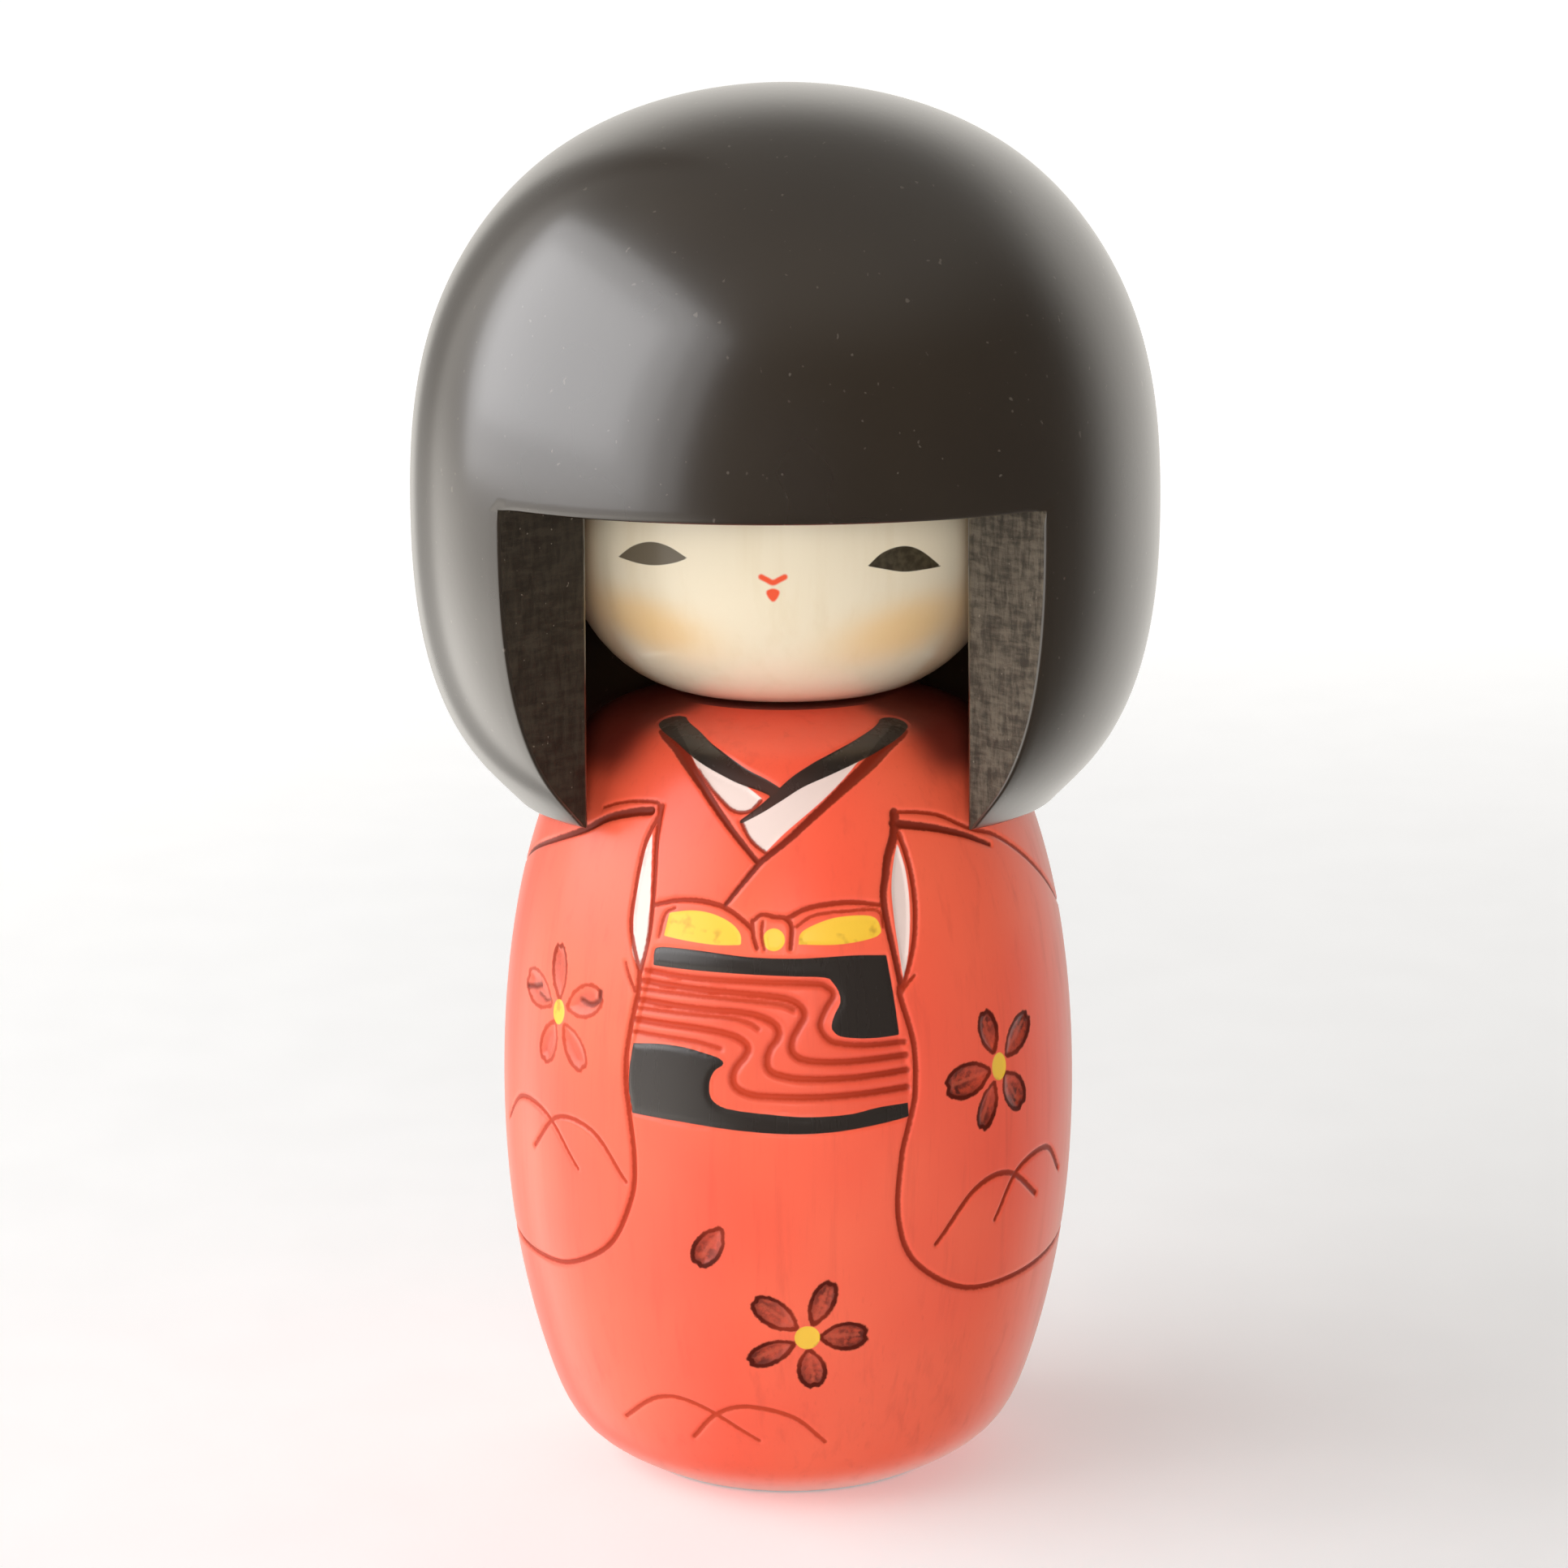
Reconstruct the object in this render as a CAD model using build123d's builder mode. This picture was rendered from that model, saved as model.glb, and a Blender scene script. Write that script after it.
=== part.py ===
"""A creative kokeshi doll of turned wood, in five pieces.

A barrel-shaped body carries a head that turns on a captive neck peg. The head is a turned
face core inside a hollow turned bell of bobbed hair, whose front is cut open as a window.

Frame: the origin is the middle of the base, +Z points up and the doll faces -Y.
Sizes are in millimetres.
"""
from build123d import *
from math import radians, tan
import os

# ---- driving dimensions ----------------------------------------------------------------
HEIGHT = 150.0  # base to crown

# hair: a hollow bell, open below, with a window through its front wall
HAIR_R = 40.0  # the bell at its widest
HAIR_WIDEST_Z = 105.5
HAIR_RIM_R = 28.9  # outside of the thin lower lip
HAIR_RIM_Z = 74.2
BORE_RIM_R = 28.1  # inside of the lip
BORE_TOP_R = 27.8  # the bore narrows a little towards its ceiling
BORE_TOP_Z = 113.0
BORE_CORNER_R = 2.5
FRINGE_Z = 108.8  # the window's upper edge
WINDOW_HALF_WIDTH = 19.65  # between its inner edges, where the side cuts leave the bore
WINDOW_EDGE_Y = -19.9
WINDOW_SPLAY = 41.9  # degrees that each side cut opens from straight ahead
FRINGE_SOFTEN = 0.6  # rounding along the lower edge of the fringe

# face core: a turned block glued to the ceiling of the hair
FACE_R = 24.0  # at the cheeks
FACE_CHEEK_Z = 102.8
FACE_CHIN_Z = 85.7  # its flat underside
FACE_CHIN_R = 9.0
FACE_TOP_R = 23.2

# body: a solid barrel whose shoulders run up inside the hair
BODY_R = 31.05  # at the hips
BODY_WIDEST_Z = 44.9
BODY_TOP_Z = 85.4  # leaves a gap of 0.3 under the chin
BODY_TOP_R = 12.0
BASE_R = 16.0
BASE_HOLLOW_R = 12.0  # a shallow turned hollow, so that the doll stands on a ring
BASE_HOLLOW_DEPTH = 0.6

# neck peg: glued in the face core, free to turn in the body, held in by its bulb
PEG_R = 5.0
PEG_FIT = 0.05  # radial clearance in the mouth of the socket
PEG_TOP_Z = 99.0
BULB_R = 5.9
BULB_TOP_Z = 76.0
PEG_TIP_Z = 69.0
TIP_ROUND = 1.8
MOUTH_Z = 77.5  # the narrow mouth of the socket ends here and its chamber begins
CHAMBER_R = 6.5
CHAMBER_FLOOR_Z = 68.5

# crown dowel: glued, half in the face core and half in the hair
DOWEL_R = 4.0
DOWEL_LENGTH = 20.0
DOWEL_CHAMFER = 0.6

os.makedirs("parts", exist_ok=True)

# ---- hair ------------------------------------------------------------------------------
window_reach = HAIR_R + 5.0  # the cutting tool runs in from well outside the bell
window_root_y = WINDOW_EDGE_Y + 6.0
window_slope = tan(radians(WINDOW_SPLAY))
window_root_x = WINDOW_HALF_WIDTH - (window_root_y - WINDOW_EDGE_Y) * window_slope
window_mouth_x = WINDOW_HALF_WIDTH + (window_reach + WINDOW_EDGE_Y) * window_slope

with BuildPart() as hair:
    with BuildSketch(Plane.XZ):
        with BuildLine():
            bell = Spline(
                (0, HEIGHT),
                (25.8, 141.8),
                (36.9, 126.4),
                (HAIR_R, HAIR_WIDEST_Z),
                (33.1, 78.6),
                (HAIR_RIM_R, HAIR_RIM_Z),
                tangents=((1, 0), (-0.68, -0.73)),
                tangent_scalars=(1, 1),
            )
            lip = Line(bell @ 1, (BORE_RIM_R, HAIR_RIM_Z))
            FilletPolyline(
                lip @ 1,
                (BORE_TOP_R, BORE_TOP_Z),
                (0, BORE_TOP_Z),
                radius=BORE_CORNER_R,
            )
            Line((0, BORE_TOP_Z), (0, HEIGHT))
        make_face()
    revolve(axis=Axis.Z)
    with BuildSketch(Plane.XY.offset(HAIR_RIM_Z - 1)):
        with BuildLine():
            Polyline(
                (-window_root_x, window_root_y),
                (window_root_x, window_root_y),
                (window_mouth_x, -window_reach),
                (-window_mouth_x, -window_reach),
                close=True,
            )
        make_face()
    extrude(amount=FRINGE_Z - HAIR_RIM_Z + 1, mode=Mode.SUBTRACT)
    fringe_face = hair.faces().filter_by(Plane.XY).filter_by_position(
        Axis.Z, FRINGE_Z - 0.1, FRINGE_Z + 0.1
    )
    fillet(fringe_face.edges().sort_by(Axis.Y)[0], radius=FRINGE_SOFTEN)
    with BuildSketch(Plane.XY.offset(BORE_TOP_Z)):
        Circle(DOWEL_R)
    extrude(amount=DOWEL_LENGTH / 2, mode=Mode.SUBTRACT)

# ---- face core -------------------------------------------------------------------------
with BuildPart() as face:
    with BuildSketch(Plane.XZ):
        with BuildLine():
            Line((0, FACE_CHIN_Z), (FACE_CHIN_R, FACE_CHIN_Z))
            cheek = EllipticalCenterArc(
                (FACE_CHIN_R, FACE_CHEEK_Z),
                FACE_R - FACE_CHIN_R,
                FACE_CHEEK_Z - FACE_CHIN_Z,
                start_angle=-90,
                arc_size=90,
            )
            brow = TangentArc((FACE_R, FACE_CHEEK_Z), (FACE_TOP_R, BORE_TOP_Z), tangent=(0, 1))
            Polyline(brow @ 1, (0, BORE_TOP_Z), (0, FACE_CHIN_Z))
        make_face()
    revolve(axis=Axis.Z)
    with BuildSketch(Plane.XY.offset(FACE_CHIN_Z)):
        Circle(PEG_R)
    extrude(amount=PEG_TOP_Z - FACE_CHIN_Z, mode=Mode.SUBTRACT)
    with BuildSketch(Plane.XY.offset(BORE_TOP_Z - DOWEL_LENGTH / 2)):
        Circle(DOWEL_R)
    extrude(amount=DOWEL_LENGTH / 2, mode=Mode.SUBTRACT)

# ---- body ------------------------------------------------------------------------------
with BuildPart() as body:
    with BuildSketch(Plane.XZ):
        with BuildLine():
            barrel = Spline(
                (BASE_R, 0),
                (23.4, 4.8),
                (26.6, 11.3),
                (BODY_R, BODY_WIDEST_Z),
                (28.75, 64.9),
                (26.4, 73.0),
                (20.0, 83.0),
                (BODY_TOP_R, BODY_TOP_Z),
                tangents=((0.9, 0.44), (-1, 0.25)),
                tangent_scalars=(1, 1),
            )
            Polyline(barrel @ 1, (0, BODY_TOP_Z), (0, 0), (BASE_R, 0))
        make_face()
    revolve(axis=Axis.Z)
    with BuildSketch(Plane.XY):
        Circle(BASE_HOLLOW_R)
    extrude(amount=BASE_HOLLOW_DEPTH, mode=Mode.SUBTRACT)
    with BuildSketch(Plane.XZ):
        with BuildLine():
            Polyline(
                (0, CHAMBER_FLOOR_Z),
                (CHAMBER_R, CHAMBER_FLOOR_Z),
                (CHAMBER_R, BULB_TOP_Z),
                (PEG_R + PEG_FIT, MOUTH_Z),
                (PEG_R + PEG_FIT, BODY_TOP_Z + 1),
                (0, BODY_TOP_Z + 1),
                close=True,
            )
        make_face()
    revolve(axis=Axis.Z, mode=Mode.SUBTRACT)

# ---- neck peg --------------------------------------------------------------------------
bulb_middle_z = (PEG_TIP_Z + BULB_TOP_Z) / 2

with BuildPart() as neck_peg:
    with BuildSketch(Plane.XZ):
        with BuildLine():
            bulb = Spline(
                (PEG_R - TIP_ROUND, PEG_TIP_Z),
                (BULB_R, bulb_middle_z),
                (PEG_R, BULB_TOP_Z),
                tangents=((1, 0), (-1, 1)),
                tangent_scalars=(1, 1),
            )
            Polyline(bulb @ 1, (PEG_R, PEG_TOP_Z), (0, PEG_TOP_Z), (0, PEG_TIP_Z), bulb @ 0)
        make_face()
    revolve(axis=Axis.Z)

# ---- crown dowel -----------------------------------------------------------------------
with BuildPart() as crown_dowel:
    with BuildSketch(Plane.XY.offset(BORE_TOP_Z - DOWEL_LENGTH / 2)):
        Circle(DOWEL_R)
    extrude(amount=DOWEL_LENGTH)
    chamfer(crown_dowel.edges().filter_by(GeomType.CIRCLE), length=DOWEL_CHAMFER)

# ---- one STEP file for each piece ------------------------------------------------------
body.part.label = "body"
export_step(body.part, "parts/body.step")

neck_peg.part.label = "neck_peg"
export_step(neck_peg.part, "parts/neck_peg.step")

face.part.label = "face"
export_step(face.part, "parts/face.step")

crown_dowel.part.label = "crown_dowel"
export_step(crown_dowel.part, "parts/crown_dowel.step")

hair.part.label = "hair"
export_step(hair.part, "parts/hair.step")
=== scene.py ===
"""Looks of a creative kokeshi doll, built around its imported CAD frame.

The turned shapes repeat part.py's outlines in millimetres. The body is a lathe surface that is
refined where it is carved, the hair is a bell with softened, sawn window cuts, and the face
core carries painted features. Angles are degrees round from the front (-Y), positive towards +X.
"""

import math

import bmesh
import bpy
import numpy as np
from mathutils import Matrix, Vector, noise


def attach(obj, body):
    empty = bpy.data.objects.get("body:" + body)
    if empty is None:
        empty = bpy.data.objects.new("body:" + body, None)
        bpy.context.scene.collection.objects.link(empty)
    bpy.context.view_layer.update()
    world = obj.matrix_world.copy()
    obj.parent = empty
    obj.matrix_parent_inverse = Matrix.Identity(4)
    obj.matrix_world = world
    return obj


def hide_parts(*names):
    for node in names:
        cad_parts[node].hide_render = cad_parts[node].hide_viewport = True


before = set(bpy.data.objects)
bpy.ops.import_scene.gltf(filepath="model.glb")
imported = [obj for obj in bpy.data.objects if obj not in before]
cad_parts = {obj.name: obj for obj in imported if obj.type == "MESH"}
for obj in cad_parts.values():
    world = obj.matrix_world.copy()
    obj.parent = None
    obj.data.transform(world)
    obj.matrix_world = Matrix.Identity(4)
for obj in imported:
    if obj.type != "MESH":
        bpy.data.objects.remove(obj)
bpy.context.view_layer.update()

MM = 0.001

# ---- outlines shared with part.py ------------------------------------------------------
CROWN_POINTS = [(0, 150), (25.8, 141.8), (36.9, 126.4), (40.0, 105.5), (33.1, 78.6), (28.9, 74.2)]
RIM_Z = 74.2
BORE_RIM_R = 28.1
BORE_TOP_R = 27.8
BORE_TOP_Z = 113.0
BORE_CORNER_R = 2.5
FRINGE_Z = 108.8
WINDOW_HALF_WIDTH = 19.65
WINDOW_EDGE_Y = -19.9
WINDOW_SPLAY = 41.9
DOWEL_R = 4.0
DOWEL_FOOT_Z = 103.0
DOWEL_TOP_Z = 123.0

BODY_TOP_Z = 85.4
BODY_POINTS = [(16.0, 0), (23.4, 4.8), (26.6, 11.3), (31.05, 44.9), (28.75, 64.9), (26.4, 73.0),
               (20.0, 83.0), (12.0, BODY_TOP_Z)]
BASE_HOLLOW_R = 12.0
BASE_HOLLOW_DEPTH = 0.6
SOCKET_R = 5.05
SOCKET_MOUTH_Z = 77.5
CHAMBER_TOP_Z = 76.0
CHAMBER_R = 6.5
CHAMBER_FLOOR_Z = 68.5

CHIN_R = 9.0
CHIN_Z = 85.7
CHEEK_R = 24.0
CHEEK_Z = 102.8
FACE_TOP_R = 23.2
PEG_R = 5.0
PEG_TOP_Z = 99.0


# ---- the body's drawing: (degrees round, height in mm) -----------------------------------
def mirrored(points):
    """The same points on the other side of the middle of the back."""
    return [(360 - angle, height) for angle, height in points]


def over_the_back(*half):
    """A line across the back from its one half, which ends in the middle."""
    return [*half, *mirrored(half[-2::-1])]


BOW_SIDE = [(153, 66.5), (151.5, 56), (153, 45)]
BOW_EDGE = ((0.6, 0.5, 0.6), 0.32, 0.4)
BOW_FOLD = ((0.5, 0.5, 0.5), 0.3, 0.3)
# grooves: points; width in mm at the start, middle and end; depth; darkness of the paint
GROOVES = [
    # shoulder lines: a thick dark cut in front of each sleeve's top and a thin one along its edge
    ([(-100, 63.4), (-88, 66.4), (-76.5, 69), (-62, 71.4), (-50.9, 73.3), (-44, 74.9), (-36.5, 75.9),
     (-31.4, 76.3)], (0.4, 0.6, 1), 0.34, 0.75),
    ([(-29.3, 76.8), (-30.6, 77.2), (-36.9, 77), (-42.1, 76.5), (-46.5, 75.8)], (0.4, 0.35, 0.3), 0.15,
     0.35),
    ([(28.3, 75.3), (32.2, 75), (38.6, 74.4), (43.2, 73.8), (47.3, 73.2), (51, 72.5), (55.4, 71.6)],
     (1, 0.75, 0.45), 0.34, 0.75),
    ([(29.6, 76.4), (35.7, 76.1), (41.4, 75.5), (46.8, 74.3), (51.3, 73.4), (57.5, 72.5), (65.9, 70.2),
     (74.8, 67.2), (88, 62.6), (100, 60.4)], (0.4, 0.45, 0.45), 0.22, 0.35),
    # sleeve outlines
    ([(-28.5, 60.2), (-28.5, 58), (-29.5, 55.2), (-30.5, 51.4), (-30.5, 48.4), (-29.5, 45), (-28.5, 40.4),
     (-29.5, 36), (-35.5, 30.4), (-47.5, 27), (-59.5, 26.2), (-77.5, 26.4), (-95, 27.6), (-108, 32),
     (-114, 40), (-115.5, 50), (-111, 58.6), (-100, 63.4)], (0.6, 0.5, 0.5), 0.34, 0.2),
    ([(26.5, 59.2), (25.5, 58.4), (28, 53), (28, 47.8), (26.5, 44.4), (25, 41), (24.5, 34.6),
     (28.5, 29.4), (40.5, 25.4), (56.5, 24.8), (81, 25.8), (97, 27.6), (109, 33), (114.5, 42),
     (114.5, 50), (110, 57), (100, 60.4)], (0.6, 0.55, 0.5), 0.34, 0.38),
    # the slits at the sleeves' tops
    ([(-29.4, 76.8), (-29, 76), (-29.7, 75.3), (-30.8, 74), (-31.5, 72.3), (-31.8, 68.5), (-31.6, 64.6),
     (-28.5, 60.2)], (0.5, 0.45, 0.5), 0.3, 0.3),
    ([(-28.7, 76.9), (-28.5, 74.8), (-28.2, 73), (-27.4, 70.2), (-26.9, 66.7), (-27.1, 63.6),
     (-28.3, 60.2)], (0.6, 0.5, 0.5), 0.3, 0.35),
    ([(29.1, 76.3), (28.1, 74.3), (25.8, 72.2), (24.6, 70.2), (23.6, 68.2), (24, 65.4), (24.9, 62.5),
     (25.9, 59.1)], (1.1, 0.75, 0.6), 0.34, 0.7),
    ([(29.4, 74.3), (30.3, 72.4), (30.9, 70), (30.7, 66.6), (29.3, 62.9), (26.5, 59.2)], (0.6, 0.55, 0.5),
     0.3, 0.35),
    ([(-32, 61), (-31, 59.8), (-29.2, 58.2)], (0.3, 0.4, 0.4), 0.2, 0.2),
    ([(29, 60), (26.8, 59), (25.6, 58.2)], (0.3, 0.4, 0.4), 0.2, 0.3),
    # collar
    ([(-38.5, 83.6), (-30.7, 82.6), (-24.6, 81.1), (-19.8, 79.5), (-16, 77.9), (-12.3, 76.2),
     (-6.9, 73.6), (-3.4, 71.9)], (2, 0.85, 0.55), 0.3, 0.72),
    ([(41.5, 83.6), (32.9, 82.6), (25.5, 81.1), (18.8, 79.5), (13.7, 78), (8.5, 76.3), (3.7, 74.5),
     (-1.4, 72.7), (-3.4, 71.9), (-7.1, 69.8), (-10.5, 67.7)], (2, 0.85, 0.45), 0.32, 0.7),
    ([(-3.6, 78), (-6.1, 77), (-10.1, 77), (-15.3, 78.6), (-21.2, 80.7)], (0.45, 0.4, 0.3), 0.15, 0.45),
    ([(-2.1, 73), (-5.5, 74.2), (-7.9, 75.9)], (0.4, 0.4, 0.4), 0.15, 0.5),
    # scarf above the obi
    ([(-26.5, 67.2), (-21, 67.9), (-15.5, 68), (-10.5, 67.5), (-6.5, 66.3), (-4.5, 65.4)],
     (0.4, 0.55, 0.5), 0.3, 0.3),
    ([(-24.6, 64), (-23.6, 66.4), (-21.5, 67.1)], (0.3, 0.35, 0.3), 0.15, 0.2),
    ([(3, 66.6), (7, 67.5), (12.5, 67.9), (17.5, 67.9), (23.5, 67.4)], (0.5, 0.55, 0.4), 0.3, 0.3),
    ([(4.6, 65.7), (8.5, 66.8), (15.5, 67.1), (22, 66.9), (23, 65.2)], (0.35, 0.35, 0.3), 0.15, 0.2),
    ([(-4.5, 66.3), (-4.2, 64.7), (-3.4, 63.5)], (0.4, 0.45, 0.4), 0.25, 0.3),
    ([(-4.2, 66.3), (-2.5, 66.9), (0, 66.7), (2.5, 66.5), (3.7, 65.6), (3.4, 63.5)], (0.4, 0.5, 0.45),
     0.28, 0.3),
    ([(-2.3, 66.2), (-2.5, 64.8), (-1.9, 63.4)], (0.35, 0.35, 0.3), 0.2, 0.25),
    # grasses on the sleeves and by the hem
    ([(-73.5, 39.8), (-64, 43.4), (-52.5, 42.8), (-43, 38)], (0.5, 0.52, 0.4), 0.2, 0.12),
    ([(-58, 38.8), (-49, 43), (-38.5, 42.5), (-30.5, 37.8)], (0.5, 0.52, 0.45), 0.2, 0.12),
    ([(33, 31), (42, 36.2), (51.5, 37), (61.5, 33.4)], (0.45, 0.62, 0.62), 0.24, 0.42),
    ([(48, 32.2), (54.5, 37), (65.5, 38), (73, 34.6)], (0.45, 0.62, 0.6), 0.24, 0.42),
    ([(-39.5, 9.8), (-27.5, 13.4), (-17.5, 13), (-4.5, 9.2)], (0.45, 0.5, 0.4), 0.17, 0.05),
    ([(-20.5, 9), (-14, 12.2), (-6.5, 13.4), (3.5, 12.2), (11, 9)], (0.45, 0.55, 0.45), 0.17, 0.05),
    # the back: the bow of the obi
    (over_the_back((153, 66.5), (165, 67.6), (180, 68)), *BOW_EDGE),
    (BOW_SIDE, *BOW_EDGE),
    (mirrored(BOW_SIDE), *BOW_EDGE),
    (over_the_back((153, 45), (165, 43.6), (180, 43.2)), *BOW_EDGE),
    (over_the_back((152.5, 61.5), (165, 62.4), (180, 62.8)), *BOW_FOLD),
    (over_the_back((152, 50), (165, 49), (180, 48.6)), *BOW_FOLD),
]
# wavy stripes of the obi: points and width; each is a broad soft channel
STRIPES = [
    ([(-27, 60.5), (-17, 60.2), (-4, 60.1), (8, 59.9), (10.7, 59.5), (12, 58.7), (10.5, 57.4),
     (9.4, 56.2), (9.2, 55.4), (10.8, 54.1), (13.4, 53.6), (18.3, 53.3), (26, 53.3)], 0.5),
    ([(-27.5, 59.4), (-16.5, 59.1), (-4, 58.8), (2.5, 58.4), (5.4, 57.6), (6.1, 56.6), (5, 55.5),
     (3.7, 54.2), (3.7, 52.9), (6.4, 52), (14, 51.7), (26.3, 51.9)], 0.6),
    ([(-28, 58.5), (-16.5, 58.4), (-4, 58.1), (1.6, 57.8), (4, 57.3)], 0.35),
    ([(-28.2, 57.4), (-16.5, 57.1), (-6, 56.9), (-1.3, 56.3), (0.9, 55.4), (0.8, 54.3), (-0.7, 53.2),
     (-1.3, 51.9), (-0.4, 50.8), (3.5, 50.2), (8, 50), (16, 50), (26.4, 50.3)], 0.6),
    ([(-28.4, 56.5), (-16.4, 56.4), (-9, 56.3), (-5, 55.9), (-3, 55.3)], 0.35),
    ([(-28.7, 55.3), (-16.4, 55.1), (-9.6, 54.7), (-6.3, 54.1), (-5, 53.3), (-5.6, 52.4), (-7.2, 51.3),
     (-8, 50.2), (-7.3, 49.1), (-4.5, 48.4), (0, 48.2), (8, 48.1), (16, 48.2), (26.4, 48.5)], 0.6),
    ([(-28.9, 54), (-20.6, 53.8), (-15, 53.6), (-10.5, 53.1)], 0.4),
]

# black lacquered areas of the obi, closed outlines; a point given twice is a corner
BACK_PANEL = [
    (116.5, 61), (116.5, 61), (130, 62.6), (151, 63), (151, 63), (150.5, 54), (151, 45),
    (151, 45), (130, 44.6), (114, 45.2), (114, 45.2), (116, 53),
]
BLACK_AREAS = [
    [(-25.4, 62.6), (-24.4, 63), (-21, 63.1), (-14.6, 63), (-4.5, 62.6), (5, 62.5), (13.2, 62.6),
     (17.3, 62.6), (23.2, 62.4), (23.2, 62.4), (24.3, 57.7), (25, 54.1), (25, 54.1), (20.5, 54),
     (16.6, 54.1), (13.1, 54.4), (11.8, 54.9), (11.3, 55.5), (12, 56.7), (13.2, 57.9), (12.9, 59),
     (11.7, 60), (10.2, 60.5), (3.3, 60.7), (-8, 60.9), (-17, 61), (-25.4, 61.1), (-25.4, 61.1)],
    [(-29, 52.8), (-29, 52.8), (-22.9, 53.1), (-17.9, 53), (-13.9, 52.6), (-10.6, 52.1), (-9.8, 51.5),
     (-11.5, 50.8), (-12.5, 49.6), (-12.3, 48), (-10.4, 47.1), (-7, 46.7), (-1, 46.4), (6, 46.1),
     (14.4, 46.2), (20.2, 46.7), (26.4, 46.9), (26.4, 46.9), (26.6, 45.4), (26.6, 45.4), (20.1, 44.9),
     (11.5, 44.4), (3.1, 44.3), (-7, 44.6), (-18, 45.1), (-28.9, 45.4), (-28.9, 45.4), (-29.9, 48.8)],
    BACK_PANEL,
    mirrored(BACK_PANEL),
]
# black collar bands: points, width at the start, middle and end
BLACK_BANDS = [
    ([(-41.5, 84.2), (-29.6, 83.4), (-20.7, 82.2), (-14.2, 81.2), (-8.8, 80.3), (-3.8, 79.6), (-0.5, 79)],
     (3.1, 2.4, 1.3)),
    ([(43, 84.1), (31.4, 83.2), (24.4, 82.5), (17.5, 81.7), (11, 80.8), (5.5, 79.8), (0.5, 78.4),
     (-3.5, 77.2), (-7.9, 76)], (3.1, 2.1, 0.4)),
]
BAND_TONE = ((0.5, 0.95), (1.0, 0.45))  # shares of a band's length, and how black it is there
# the whole obi, whose striped part is cut a little below the black
OBI_AREAS = [
    [(-25.5, 62.6), (-25.5, 62.6), (23, 62.6), (23, 62.6), (25, 54.2), (27, 50), (26.5, 45.2),
     (26.5, 45.2), (8, 44.2), (-14, 44.6), (-29.5, 45.4), (-29.5, 45.4), (-30.4, 49.6), (-29, 53)],
]
WHITE_AREAS = [
    [(-28.5, 82.9), (-28.5, 82.9), (-19.8, 81.8), (-13.8, 80.8), (-7.9, 79.5), (-3.2, 78.2), (-3.2, 78.2),
     (-6.1, 77), (-10.1, 77), (-15.3, 78.6), (-21.2, 80.7), (-25.2, 82)],
    [(24.6, 81.9), (24.6, 81.9), (20.5, 80.8), (12.2, 78.2), (3.1, 75.2), (-2.1, 73), (-2.1, 73),
     (-5.5, 74.2), (-8, 76), (-8, 76), (-3, 77.3), (5.5, 79.4), (17, 81.2)],
    [(-29.7, 74.2), (-29.7, 74.2), (-30.9, 72.3), (-31.3, 68.2), (-31.2, 65.4), (-30.8, 62.4),
     (-28.5, 60.2), (-28.5, 60.2), (-27.3, 62.6), (-27.4, 65.9), (-27.9, 68.9), (-28.9, 72.1)],
    [(28.5, 73.4), (28.5, 73.4), (26.9, 71.6), (25.6, 69), (25.5, 65.6), (26, 62.2), (26.6, 59.2),
     (26.6, 59.2), (28.4, 63.5), (29.4, 67.2), (29.5, 70.6)],
]
YELLOW_AREAS = [
    [(-23.4, 64.2), (-23.4, 64.2), (-22.6, 66.6), (-22.6, 66.6), (-17.5, 67), (-13, 66.8), (-9, 66),
     (-6.9, 64.9), (-6.7, 63.8), (-6.7, 63.8), (-12, 63.7), (-18, 63.9)],
    [(5, 63.9), (5, 63.9), (5.8, 65.2), (11, 66.3), (16, 66.6), (20.6, 66.4), (22.2, 65.5), (21.6, 64.4),
     (14, 63.8)],
]
YELLOW_DOTS = [((0, 64.4), 1.15, 1.15), ((-49.5, 54.3), 1, 1.35), ((48.5, 48.9), 1.1, 1.5),
               ((6.4, 21.8), 1.35, 1.35)]
# petals: base, tip, width in mm, how dark it is filled
PETALS = [
    ((-49.5, 55.6), (-51.5, 61.5), 2.7, 0.4),
    ((-47, 55), (-37, 57.2), 3.5, 0.2),
    ((-52, 54.8), (-63.8, 56.8), 3.7, 0.2),
    ((-50.6, 53.2), (-54.2, 48.4), 3.1, 0.2),
    ((-47.6, 53.2), (-41, 48.8), 3, 0.2),
    ((47.2, 50.4), (45, 55.2), 2.7, 0.95),
    ((50.6, 49.8), (58.9, 53.5), 3.2, 1),
    ((46, 48.7), (34.5, 47.8), 3.7, 1),
    ((47, 47.4), (43.4, 42.5), 2.6, 0.9),
    ((50, 48), (55.6, 43.8), 3.4, 1),
    ((9, 21.8), (19.2, 21.7), 3.2, 1),
    ((7.4, 23.2), (11.2, 28.2), 2.6, 0.9),
    ((4.4, 22.8), (-4.6, 26.2), 3, 0.8),
    ((3.8, 21.2), (-6, 18.8), 2.6, 0.95),
    ((6.6, 20.4), (8.2, 15.8), 3, 0.85),
    ((-10.3, 34), (-15.8, 29.6), 3, 0.85),
]
# dark strokes in two petals: points and width in mm
DABS = [
    ([(-43.1, 56.2), (-41.5, 56), (-39.9, 56), (-38.3, 56.4), (-37.7, 56.9), (-37.6, 57.5)], 0.8),
    ([(-63, 55.6), (-60.3, 55.9), (-57.8, 56.3)], 0.75),
    ([(-58.1, 55.4), (-56.6, 55.2), (-54.8, 55), (-52.8, 55.3)], 0.5),
]
# painted shade on the shoulders under the hair: degrees round and height, start and full
SHOULDER_SHADE_ROUND = (30, 56)
SHOULDER_SHADE_HEIGHT = (76.5, 81.5)

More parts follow.
